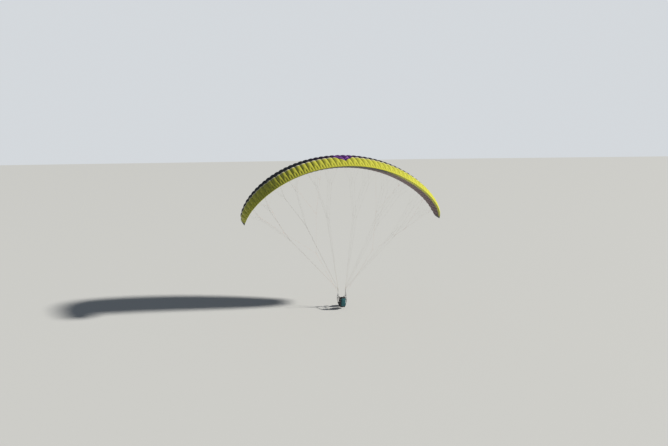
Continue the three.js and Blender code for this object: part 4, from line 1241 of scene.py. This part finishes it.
def blow_up(piece, start, most):
    """Swells the cloth by its pressure, with no point further than most from its start."""
    bpy.ops.object.modifier_add(type="CLOTH")
    cloth = piece.modifiers[-1]
    for key, value in CLOTH.items():
        setattr(cloth.settings, key, value)
    cloth.settings.effector_weights.gravity = 0
    cloth.collision_settings.use_collision = False
    for step in range(1, CLOTH_STEPS + 1):
        bpy.context.scene.frame_set(step)
    only(piece)
    bpy.ops.object.modifier_apply(modifier=cloth.name)
    bpy.context.scene.frame_set(1)
    move = points_of(piece) - start
    length = np.linalg.norm(move, axis=1, keepdims=True) + 1e-9
    place_points(piece, start + move * np.minimum(1, most / length))


def keep_outer_shell(piece):
    """Leaves only the largest of the loose shells, after the little vent between them is cut away."""
    points = points_of(piece)
    middle, roof = (points[:, 0].min() + points[:, 0].max()) / 2, points[:, 2].min() + VENT_ROOF
    clear_selection()
    for vertex in piece.data.vertices:
        vertex.select = bool(abs(vertex.co.x - middle) < VENT_HALF_WIDTH and vertex.co.z < roof)
    with editing(None):
        bpy.ops.mesh.delete(type="VERT")
        bpy.ops.mesh.separate(type="LOOSE")
    for shell in sorted(bpy.context.selected_objects, key=lambda shell: -max(shell.dimensions)):
        if shell is not piece:
            if max(shell.dimensions) > max(piece.dimensions):
                piece.data, shell.data = shell.data, piece.data
            bpy.data.objects.remove(shell)
    only(piece)
    with editing():
        bpy.ops.mesh.fill_holes(sides=0)


def press(piece, depth_at):
    """Sews seams and channels in: each point goes in by depth_at(points, normals)."""
    points, normals = points_of(piece), points_of(piece, "normal")
    place_points(piece, points - normals * depth_at(points, normals)[:, None])


def groove(distance, width, depth):
    return depth * np.exp(-(distance / width) ** 2)


def sew_seat(piece, kind):
    """Quilts the seat, and thins its front and rear edges."""
    own = HARNESSES[kind]
    half, base, rear = own["width"] / 2, AXIS_Z + own["top"], own["y"] + own["rear"]

    def depth(points, normals):
        x, y, z = points.T
        top = smooth(normals[:, 2], 0.4, 0.8) * smooth(-abs(z - base), -0.03, -0.01)
        across = sum(groove(y - rear - at, 0.005, 0.004) for at in (0.085, 0.17, 0.25))
        rails = sum(groove(abs(x) - at, 0.005, 0.0035) for at in (0.062, half - 0.03))
        sides = smooth(abs(normals[:, 0]), 0.6, 0.9) * smooth(z, base - 0.01, base + 0.01)
        hem = sides * groove(z - base - 0.03, 0.004, 0.0018)
        return top * np.minimum(across + rails, 0.0045) + hem

    points = points_of(piece)
    along = (points[:, 1] - rear) / own["deep"]
    over = np.maximum(points[:, 2] - base, 0)
    rear_edge = np.exp(-(np.maximum(along, 0) / 0.075) ** 2)
    points[:, 2] -= over * (0.3 * rear_edge + 0.1 * smooth(along, 0.3, 0.6))
    place_points(piece, points)
    press(piece, depth)


def sew_back(piece, kind):
    """Quilts the back's face and sews its border and spine."""
    half, back = HARNESSES[kind]["width"] / 2, HARNESSES[kind]["back"]

    def depth(points, normals):
        x, (height, _) = points[:, 0], from_back(kind, points)
        face, rear = smooth(normals[:, 1], 0.3, 0.7), smooth(-normals[:, 1], 0.3, 0.7)
        inside = 1 - smooth(abs(x), half - 0.05, half - 0.04)
        levels = sum(groove(height - share * back, 0.006, 0.006) for share in (0.2, 0.37, 0.54, 0.71, 0.87))
        border = groove(abs(x) - (half - 0.048), 0.006, 0.006)
        spine = groove(x, 0.007, 0.003)
        wrinkles = 0.0006 * np.sin(x * 90 + height * 31) * np.sin(height * 71)
        return face * (np.maximum(levels * inside, border) + spine * inside) + rear * border * 0.5 + wrinkles

    press(piece, depth)


def sew_under(piece):
    """Channels and a rim on the underside of a protector or a reserve container."""
    low, high = corners_of(piece)
    middle, size = (low + high) / 2, high - low

    def depth(points, normals):
        x, y, z = (points - middle).T
        under = smooth(-normals[:, 2], 0.2, 0.7)
        around = 1 - smooth(abs(normals[:, 2]), 0.3, 0.7)
        ribs = sum(groove(x - share * size[0], 0.007, 0.006) for share in (-0.24, 0, 0.24))
        rim = groove(z - size[2] * 0.28, 0.004, 0.003)
        cross = groove(y - size[1] * 0.12, 0.006, 0.004)
        wrinkles = 0.001 * np.sin(x * 61 + y * 23) * np.sin(y * 77 + z * 40)
        return under * np.maximum(ribs, cross) + around * rim + wrinkles

    press(piece, depth)


def sew_container(piece):
    """Panels, a waist, a sag and puckers on the rucksack container."""
    def depth(points, normals):
        x, (height, off) = points[:, 0], from_back("pilot", points)
        level = (height - CONTAINER_FOOT) / (HARNESSES["pilot"]["back"] - 0.02)
        rear, side = smooth(-normals[:, 1], 0.2, 0.7), smooth(abs(normals[:, 0]), 0.4, 0.8)
        ring = groove(off - ZIP_OFF, 0.004, 0.0035) * (1 - smooth(-normals[:, 1], 0.75, 0.95))
        seam = abs(x) - CONTAINER_HALF * 0.56
        panels = rear * (groove(level - 0.3, 0.01, 0.004) + groove(seam, 0.005, 0.0035))
        waist = side * groove(level - 0.52, 0.02, 0.007)
        sag = 0.004 * np.sin(level * 9.0 + x * 6) * rear
        wrinkles = 0.0016 * np.sin(x * 37 + height * 29) * np.sin(height * 47 - off * 33)
        puckers = 0.0011 * np.sin(height * 260) * (groove(seam, 0.016, 1) * rear)
        return ring + panels + waist + sag + wrinkles + puckers

    press(piece, depth)


def line_faces(piece, test):
    """The spacer lining on the faces where the test holds."""
    piece.data.materials.append(PAINTS["spacer"][0])
    for face in piece.data.polygons:
        if test(face.center, face.normal):
            face.material_index = 1


def harness_cushions(kind):
    """Seat, back, protector and, for the pilot, the reserve's and the rucksack's containers."""
    own, pilot = HARNESSES[kind], kind == "pilot"
    made = {}
    for part, sizes in CUSHIONS.items():
        if pilot or part not in PILOT_ONLY:
            node = part if part == "reserve_container" else f"{kind}_{part}"
            made[part] = cushion(f"{kind}_{part}_cushion", node, *sizes, hollow=part == "container")
    sew_seat(made["seat"], kind)
    sew_back(made["back"], kind)
    sew_under(made["protector"])
    if pilot:
        sew_under(made["reserve_container"])
        sew_container(made["container"])
    for part, piece in made.items():
        finish(piece, "teal" if part == "container" else "black", f"{kind}_harness", angle=180)
    half, floor = own["width"] / 2, AXIS_Z + own["top"] - 0.012
    line_faces(made["back"], lambda at, normal: normal.y > 0.6 and abs(at.x) < half - 0.052)
    line_faces(made["seat"], lambda at, normal: (normal.z > 0.7 and floor < at.z < floor + 0.03
                                                 and abs(at.x) < half - 0.02))
    return made


# Trim on the cushions

def laid_on(piece, places, lift):
    """The places brought to the nearest point of a piece's skin, lift over it, with the skin's normals."""
    out = []
    for place in places:
        _, at, normal, _ = piece.closest_point_on_mesh(place)
        out.append((at + normal * lift, normal.copy()))
    return out


def dense(places, step, closed=False):
    """More places along straight runs."""
    stops = [Vector(p) for p in places] + ([Vector(places[0])] if closed else [])
    out = []
    for a, b in zip(stops, stops[1:]):
        count = max(1, round((b - a).length / step))
        out += [a.lerp(b, k / count) for k in range(count)]
    return out if closed else out + [stops[-1]]


def eased(places, rounds, closed=False):
    """The same places with their corners rounded."""
    for _ in range(rounds):
        following = places[1:] + places[:1]
        soft = [(places[n - 1] + place * 2 + following[n]) / 4 for n, place in enumerate(places)]
        places = soft if closed else [places[0], *soft[1:-1], places[-1]]
    return places


def piping(name, piece, places, radius, body, closed=True):
    """A corded edge laid on a cushion."""
    path = eased(dense(places, 0.008, closed), 3, closed)
    on = eased([at for at, _ in laid_on(piece, path, radius * 0.25)], 2, closed)
    swept(name, [tube_run(on, radius)], round_section(8), "piping", body, angle=60, closed=closed)


def path_on(piece, places, lift):
    """A smooth path on a piece's skin through places, with the skin's normals."""
    on = laid_on(piece, eased(dense(places, 0.007), 4), lift)
    return eased([at for at, _ in on], 3), [normal for _, normal in on]


def tape(name, piece, places, width, thick, body, paint="webbing", lift=0.0006):
    """A flat tape sewn on a cushion's skin, along places."""
    path, normals = path_on(piece, places, lift)
    run = []
    for before, at, after, normal in zip([path[0], *path], path, [*path[1:], path[-1]], normals):
        run.append((at, width / 2, thick / 2, (after - before).cross(normal)))
    swept(name, [run], STRAP_SECTION, paint, body)


def zip_along(name, piece, places, body, width, thick, lift, radius, coil_lift):
    """A zip on a cushion: its tape and its coil. Gives the coil's path back."""
    tape(f"{name}_tape", piece, places, width, thick, body, "zip_tape", lift)
    coil, _ = path_on(piece, places, coil_lift)
    swept(f"{name}_coil", [tube_run(coil, radius)], round_section(8), "zip_coil", body, angle=60)
    return coil


def buckle(name, middle, across, along, width, height, wire, body, paint="steel"):
    """A pressed ladder buckle: a rounded frame with a middle bar."""
    across, along, middle = Vector(across).normalized(), Vector(along).normalized(), Vector(middle)
    outline = rounded(width / 2, height / 2, min(width, height) * 0.18, 3)
    places = [middle + across * u + along * v for u, v in outline]
    frame_run = [(place, wire * 0.62, wire * 0.5, across.cross(along)) for place in places]
    ends = [middle + across * (side * width / 2) for side in (-1, 1)]
    pieces = [sweep("frame", [frame_run], round_section(10), closed=True),
              sweep("bar", [tube_run(ends, wire * 0.5)], round_section(10))]
    finish(gather(name, pieces), paint, body, angle=50)


def back_outline(kind, inset, off):
    """The back's edge as places, drawn in by inset."""
    own = HARNESSES[kind]
    hips, back, shoulder = own["width"] / 2 - 0.01 - inset, own["back"], 0.158 - inset
    right = [(hips - 0.03, 0.014 + inset), (hips, 0.05), (hips, back * 0.5), (shoulder, back * 0.78),
             (shoulder, back - 0.036), (shoulder - 0.034, back - inset)]
    both = right + [(-x, height) for x, height in reversed(right)]
    return [on_back(kind, x, height, off) for x, height in both]


def seat_trim(kind, seat):
    """Piping along the seat's side wings and nose, and a tape on each side."""
    own, body = HARNESSES[kind], f"{kind}_harness"
    half, deep, base, rear = own["width"] / 2, own["deep"], AXIS_Z + own["top"], own["y"] + own["rear"]
    rim = [(-0.003, 0.03), (-0.003, 0.09), (0.004, 0.118)]
    rim += [(share * deep, z) for share, z in
            ((0.05, 0.134), (0.12, 0.15), (0.27, 0.136), (0.57, 0.074), (0.78, 0.022), (0.9, 0.008))]
    for side, hand in HANDS.items():
        places = [Vector((hand * (half + 0.005), rear + y, base + z)) for y, z in rim]
        piping(f"{kind}_seat_rim_piping_{side}", seat, places, 0.0024, body, closed=False)
        places = [Vector((hand * (half + 0.02), rear + y, base + z)) for y, z in
                  ((0.018, 0.03), (0.12, 0.03), (0.2, 0.022))]
        tape(f"{kind}_seat_side_tape_{side}", seat, places, 0.02, 0.0016, body)
    nose = [Vector((x * half, rear + deep - 0.002, base - 0.012)) for x in (-0.92, -0.5, 0, 0.5, 0.92)]
    piping(f"{kind}_seat_nose_piping", seat, nose, 0.0024, body, closed=False)


def protector_zip(kind, pad):
    """A zip round the protector's rear and sides."""
    low, high = (Vector(corner) for corner in corners_of(pad))
    z = low.z + (high.z - low.z) * 0.62
    places = [Vector((high.x + 0.01, high.y - 0.05, z)), Vector((high.x + 0.01, low.y, z)),
              Vector((high.x - 0.03, low.y - 0.01, z)), Vector((low.x + 0.03, low.y - 0.01, z)),
              Vector((low.x - 0.01, low.y, z)), Vector((low.x - 0.01, high.y - 0.05, z))]
    zip_along(f"{kind}_protector_zip", pad, places, f"{kind}_harness", 0.015, 0.0013, 0.0006, 0.0018, 0.0018)


def carrying_loop(kind):
    """The carrying loop sewn on the back's top edge."""
    top = HARNESSES[kind]["back"]
    half = [(-0.055, -0.035, -0.033), (-0.046, -0.006, -0.034), (-0.032, 0.006, -0.035)]
    arch = [*half, (0, 0.009, -0.035), *[(-x, lift, off) for x, lift, off in half[::-1]]]
    curve = curve_through([(on_back(kind, x, top + lift, off), UP) for x, lift, off in arch], 5)
    run = [(place, 0.002, 0.009, (1, 0, 0) if abs(place.x) > 0.04 else UP) for place, _ in curve]
    swept(f"{kind}_carrying_loop", [run], STRAP_SECTION, "webbing", f"{kind}_harness", angle=50)


def zip_slider(name, bag, coil, share):
    """A slider on the coil, with its cord pull."""
    k = round(len(coil) * share)
    at, normal = laid_on(bag, [coil[k]], 0.0045)[0]
    along = (coil[k + 1] - coil[k - 1]).normalized()
    slider = [(at + along * place, wide, thick, normal.cross(along)) for place, wide, thick in
              ((-0.007, 0.0042, 0.002), (0, 0.0052, 0.003), (0.007, 0.0036, 0.002))]
    pull = [at + normal * 0.002 + along * (0.004 * s) + Vector((0, -0.001, -0.012 * s)) for s in range(4)]
    pieces = [sweep("slider", [slider], STRAP_SECTION),
              sweep("pull", [tube_run(pull, 0.0016)], round_section(8))]
    finish(gather(name, pieces), "alloy", "pilot_harness", angle=40)


def container_trim(bag):
    """The rucksack's zip, compression straps and haul loop."""
    body, half = "pilot_harness", CONTAINER_HALF
    foot, top = CONTAINER_FOOT, HARNESSES["pilot"]["back"] + 0.01
    right = [(half * 1.02, foot + 0.12), (half * 1.02, top - 0.15), (half * 0.95, top - 0.04),
             (half * 0.7, top)]
    ring = [*right, (0, top + 0.004), *[(-x, height) for x, height in right[::-1]]]
    places = [on_back("pilot", x, height, ZIP_OFF) for x, height in ring]
    coil = zip_along("container_zip", bag, places, body, 0.017, 0.0014, 0.0008, 0.0021, 0.0022)
    for n, share in enumerate((0.36, 0.39)):
        zip_slider(f"container_zip_slider_{n + 1}", bag, coil, share)
    for side, hand in HANDS.items():
        for n, level in enumerate((0.34, 0.66)):
            height = foot + level * (top - foot)
            stops = [on_back("pilot", hand * half * reach, height - drop, off) for reach, drop, off in
                     ((1.03, 0, -0.035), (1.03, 0.004, -0.09), (0.94, 0.01, -0.15), (0.52, 0.014, -0.17))]
            tape(f"container_strap_{n + 1}_{side}", bag, stops, 0.019, 0.0018, body, lift=0.0018)
            at, normal = laid_on(bag, [stops[3].lerp(stops[2], 0.35)], 0.0042)[0]
            along = (stops[3] - stops[2]).normalized()
            buckle(f"container_buckle_{n + 1}_{side}", at, normal.cross(along), along, 0.027, 0.024, 0.0032,
                   body, "plastic")
    arch = [(on_back("pilot", x, top + lift, -0.1), UP) for x, lift in
            ((-0.05, -0.008), (-0.04, 0.008), (0, 0.016), (0.04, 0.008), (0.05, -0.008))]
    run = strap_run(arch, 0.0032, 0.019, 5)
    swept("container_haul_loop", [run], STRAP_SECTION, "webbing", body, angle=50)


def reserve_trim(pod):
    """The pull handle on the reserve's right side, with its closing flap and pins."""
    body = "pilot_harness"
    low, high = (Vector(corner) for corner in corners_of(pod))
    x, y, z = high.x, (low.y + high.y) / 2, (low.z + high.z) / 2
    arch = [((x + out, y + along, z + lift), UP) for out, along, lift in
            ((-0.002, -0.05, 0.004), (0.008, -0.042, 0.002), (0.015, -0.02, -0.004), (0.016, 0.02, -0.004),
             (0.008, 0.042, 0.002), (-0.002, 0.05, 0.004))]
    swept("reserve_handle", [strap_run(arch, 0.022, 0.0056, 5)], STRAP_SECTION, "red_webbing", body, angle=50)
    flap = [Vector((x + 0.002, y + along, z + 0.016)) for along in (-0.055, 0, 0.055)]
    tape("reserve_flap_tape", pod, flap, 0.02, 0.0018, body)
    shape = [(-0.014, 0.0008), (-0.012, 0.0014), (0.012, 0.0014), (0.014, 0.0024), (0.018, 0.0024),
             (0.019, 0.001)]
    for n, along in enumerate((-0.028, 0.028)):
        at, _ = laid_on(pod, [Vector((x, y + along, z + 0.016))], 0.0035)[0]
        pin = turned(f"reserve_pin_{n + 1}", at, AHEAD, shape, 12)
        finish(pin, "steel", body, angle=40)


def harness_trim(kind, made):
    """Piping, zips, tapes and handles on the cushions."""
    body, back = f"{kind}_harness", made["back"]
    piping(f"{kind}_back_piping", back, back_outline(kind, 0.004, -0.004), 0.0026, body)
    piping(f"{kind}_back_rear_piping", back, back_outline(kind, 0.004, -0.027), 0.0022, body)
    seat_trim(kind, made["seat"])
    carrying_loop(kind)
    protector_zip(kind, made["protector"])
    if kind == "pilot":
        container_trim(made["container"])
        reserve_trim(made["reserve_container"])
    else:
        for share in (0.35, 0.66):
            height, name = HARNESSES[kind]["back"] * share, f"passenger_back_reflective_{round(share * 100)}"
            places = [on_back(kind, x, height, -0.05) for x in (-0.135, -0.06, 0, 0.06, 0.135)]
            tape(name, back, places, 0.018, 0.0014, body, "reflective")


# Harness webbing

def on_side(kind, hand):
    """Gives places on one side of a harness, from the middle of its carabiner axis."""
    return lambda x, y, z: in_harness(kind, hand * x, y, z)


def main_strap(kind, side, hand):
    """The strap from the carabiner down to the seat, with its loop, its doubled upper end and its tacks."""
    own, body, at = HARNESSES[kind], f"{kind}_harness", on_side(kind, hand)
    top, outside = own["top"], own["width"] / 2 + STRAP_OUTSIDE
    flat, ahead = Vector((hand, 0, 0)), Vector(AHEAD)
    main = [(at(HANG_X, 0, STRAP_TOP + 0.002), flat), (at(HANG_X, 0, SHOULDER_FORK), flat),
            (at(HANG_X, 0, STRAP_BEND), flat),
            (at((HANG_X + outside) / 2, 0, (STRAP_BEND + top) / 2), flat + ahead),
            (at(outside, 0, top + 0.075), ahead), (at(outside, 0, top - own["seat"] + 0.005), ahead)]
    doubled = [(at(HANG_X, 0.0031, STRAP_TOP + z), flat) for z in (0.001, -0.04)]
    runs = [strap_run(main, STRAP_WIDTH, STRAP_THICK, 8), strap_run(doubled, 0.024, 0.0026, 3)]
    bands = [sweep("main", runs, STRAP_SECTION), webbing_loop(at(HANG_X, 0, HARNESS_LOOP), 0.0024, -1)]
    finish(gather(f"{kind}_main_strap_{side}", bands), "webbing", body, [f"{kind}_webbing_{side}"], 40)
    tacks = [tack_run(at(HANG_X, 0.0047, STRAP_TOP - z), flat, UP, 0.018, 0.01) for z in (0.012, 0.032)]
    tacks += [tack_run(at(outside + 0.0021, 0, top + z), ahead, UP, 0.018, 0.012) for z in (0.035, 0, -0.02)]
    swept(f"{kind}_stitching_{side}", tacks, round_section(5), "thread", body, angle=60)


def shoulder_strap(kind, side, hand):
    """The pad from the main strap over the shoulder to the back, with its strap and its buckle."""
    own, body, at = HARNESSES[kind], f"{kind}_harness", on_side(kind, hand)
    flat = Vector((hand, 0, 0))
    shoulder = on_back(kind, 0.14, own["back"], 0.06) - in_harness(kind, 0, 0, 0)
    climb = shoulder.z - SHOULDER_FORK
    rise = [at(HANG_X - x, bow * climb + shoulder.y * share ** 3, SHOULDER_FORK + climb * share)
            for share, x, bow in ((0.2, 0.02, 0.065), (0.42, 0.044, 0.1), (0.7, 0.072, 0.07))]
    foot = at(HANG_X - 0.002, -0.001, SHOULDER_FORK)
    behind = [on_back(kind, hand * x, own["back"] - drop, off) for x, drop, off in
              ((0.132, 0.03, 0.0055), (0.13, 0.11, 0.0045))]
    stops = [foot, *rise, at(0.14, shoulder.y, shoulder.z), *behind]
    curve = curve_through([(place, flat) for place in stops], PAD_STEPS)
    padding, rider = [], []
    for n, (point, across) in enumerate(curve):
        share = n / (len(curve) - 1)
        wide = 0.0125 + 0.0105 * smooth(share, 0.2, 0.38)
        deep = 0.0016 + 0.0024 * smooth(share, 0.2, 0.36) * (1 - 0.45 * smooth(share, 0.86, 1))
        quilt = 1 - 0.12 * (0.5 + 0.5 * math.cos(n * 2 * math.pi / 6)) ** 4 * (share > 0.38)
        padding.append((point, float(wide), float(deep * quilt), across))
        if 0.2 < share < 0.9:
            along = (curve[n + 1][0] - curve[n - 1][0]).normalized()
            out = along.cross(across).normalized() * hand
            rider.append((point + out * 0.0047, 0.0095, 0.0009, across))
    pad = swept(f"{kind}_shoulder_pad_{side}", [padding], PAD_SECTION, "black", body, angle=70)
    swept(f"{kind}_shoulder_strap_{side}", [rider], STRAP_SECTION, "webbing", body, angle=40)
    way = (rise[0] - foot).normalized()
    buckle(f"{kind}_shoulder_buckle_{side}", foot + way * 0.045, flat - way * flat.dot(way), way,
           0.036, 0.03, 0.0042, body)


def leg_strap(kind, side, hand):
    """The strap along the seat's side and round its front corner, with its buckle."""
    own, body, at = HARNESSES[kind], f"{kind}_harness", on_side(kind, hand)
    half, top, front = own["width"] / 2, own["top"], own["rear"] + own["deep"]
    beside = half + STRAP_OUTSIDE + 0.0038
    places = [(beside, -0.008, 0.04), (beside, 0.09, 0.022), (beside, front - 0.014, -0.008),
              (half + 0.012, front + 0.007, -0.014), (half - 0.006, front + 0.017, -0.018),
              (half - 0.07, front + 0.019, -0.021), (0.074, front + 0.016, -0.02),
              (0.06, front + 0.009, -0.02), (0.06, front + 0.0003, -0.02)]
    run = strap_run([(at(x, y, top + z), UP) for x, y, z in places], 0.018, 0.0027, 5)
    swept(f"{kind}_leg_band_{side}", [run], STRAP_SECTION, "webbing", body, [f"{kind}_leg_strap_{side}"], 40)
    buckle(f"{kind}_leg_buckle_{side}", at(half - 0.038, front + 0.0212, top - 0.0195), UP, (1, 0, 0),
           0.026, 0.03, 0.004, body)


def chest_strap(kind):
    """The strap between the main straps, with its two buckles."""
    body, reach = f"{kind}_harness", HANG_X - 0.0133
    end = 1 - 0.014 / reach
    stops = [(-1, 0), (-end, 0), (-0.5, 0.04), (0, 0.055), (0.5, 0.04), (end, 0), (1, 0)]
    chest = [(in_harness(kind, x * reach, y, CHEST_LEVEL), UP) for x, y in stops]
    swept(f"{kind}_chest_band", [strap_run(chest, 0.0245, 0.0026, 7)], STRAP_SECTION, "webbing", body,
          [f"{kind}_chest_strap"], 40)
    for side, hand in HANDS.items():
        place = in_harness(kind, hand * 0.018, 0.0565, CHEST_LEVEL)
        buckle(f"{kind}_chest_buckle_{side}", place, UP, (1, 0, 0), 0.034, 0.026, 0.0044, body)


def harness(kind):
    """One flyer's harness with its carabiners."""
    for side, hand in HANDS.items():
        middle = in_harness(kind, HANG_X * hand, 0, -(HARNESS_RING[1] - HARNESS_RING[2]) / 2)
        carabiner(f"{kind}_ring_{side}", f"{kind}_carabiner_{side}", HARNESS_RING, middle, hand,
                  f"{kind}_harness", 0.03)
    harness_trim(kind, harness_cushions(kind))
    for side, hand in HANDS.items():
        main_strap(kind, side, hand)
        shoulder_strap(kind, side, hand)
        leg_strap(kind, side, hand)
    chest_strap(kind)


def rigging():
    """Lines, risers, brakes, carabiners and spreader bars on both sides, and the two harnesses."""
    for side, hand in HANDS.items():
        for row in RISERS:
            line_row(row, side, hand)
            riser(row, side, hand)
        brake_lines(side, hand)
        pulley(side, hand)
        brake_handle(side, hand)
        ring_middle = Vector((HANG_X * hand, 0, HANG_Z + (MAIN_RING[1] - MAIN_RING[2]) / 2))
        carabiner(f"main_ring_{side}", f"main_carabiner_{side}", MAIN_RING, ring_middle, hand, "wing")
        spreader_bar(side, hand)
    for kind in HARNESSES:
        harness(kind)


# Camera, light and floor

def aim_camera():
    """Puts the camera where the photograph was taken, with the wing's middle on its pixel."""
    data = bpy.data.cameras.new("camera")
    data.sensor_width = SENSOR
    data.lens = FOCAL_PIXELS / IMAGE_WIDTH * SENSOR
    data.clip_end = 500
    camera = bpy.data.objects.new("camera", data)
    bpy.context.collection.objects.link(camera)
    back = Vector((
        math.sin(CAMERA_AZIMUTH) * math.cos(CAMERA_ELEVATION),
        -math.cos(CAMERA_AZIMUTH) * math.cos(CAMERA_ELEVATION),
        math.sin(CAMERA_ELEVATION),
    ))
    right = (-back).cross(Vector(UP)).normalized()
    up = right.cross(-back)
    world = Matrix((
        right * math.cos(CAMERA_ROLL) - up * math.sin(CAMERA_ROLL),
        right * math.sin(CAMERA_ROLL) + up * math.cos(CAMERA_ROLL),
        back,
    )).transposed()
    ray = Vector((
        (WING_MIDDLE_PIXEL[0] - IMAGE_WIDTH / 2) / FOCAL_PIXELS,
        (IMAGE_HEIGHT / 2 - WING_MIDDLE_PIXEL[1]) / FOCAL_PIXELS,
        -1,
    )).normalized()
    sideways = ray.cross(Vector(AHEAD)).normalized()
    lens = Matrix((sideways, sideways.cross(ray), -ray))
    turn = (world @ lens).to_4x4()
    camera.matrix_world = Matrix.Translation(WING_MIDDLE + back * CAMERA_DISTANCE) @ turn
    bpy.context.scene.camera = camera


def light_and_floor():
    """A dim sky, a plain backdrop for the camera, the sun and the floor."""
    world = bpy.data.worlds.new("studio")
    bpy.context.scene.world = world
    world.use_nodes = True
    nodes, links = world.node_tree.nodes, world.node_tree.links
    light = nodes["Background"]
    light.inputs["Color"].default_value = SKY_COLOUR
    light.inputs["Strength"].default_value = SKY_STRENGTH
    backdrop = nodes.new("ShaderNodeBackground")
    backdrop.inputs["Color"].default_value = BACKDROP_COLOUR
    seen = nodes.new("ShaderNodeLightPath")
    mix = nodes.new("ShaderNodeMixShader")
    links.new(seen.outputs["Is Camera Ray"], mix.inputs[0])
    links.new(light.outputs[0], mix.inputs[1])
    links.new(backdrop.outputs[0], mix.inputs[2])
    links.new(mix.outputs[0], nodes["World Output"].inputs["Surface"])
    data = bpy.data.lights.new("sun", "SUN")
    data.energy = SUN_ENERGY
    data.angle = SUN_WIDTH
    data.color = SUN_COLOUR
    sun = bpy.data.objects.new("sun", data)
    bpy.context.collection.objects.link(sun)
    sun.rotation_euler = SUN_FROM.to_track_quat("Z", "Y").to_euler()
    bpy.ops.mesh.primitive_plane_add(size=FLOOR_SIZE, location=(0, 0, CAD_BOX[0].z - FLOOR_BELOW))
    floor = bpy.context.object
    floor.name = "floor"
    paint = Paint("floor", (0.66, 0.67, 0.67), Roughness=0.9)
    floor.data.materials.append(paint.material)


aim_camera()
light_and_floor()
canopy()
rigging()
bpy.context.scene.view_settings.view_transform = "Standard"
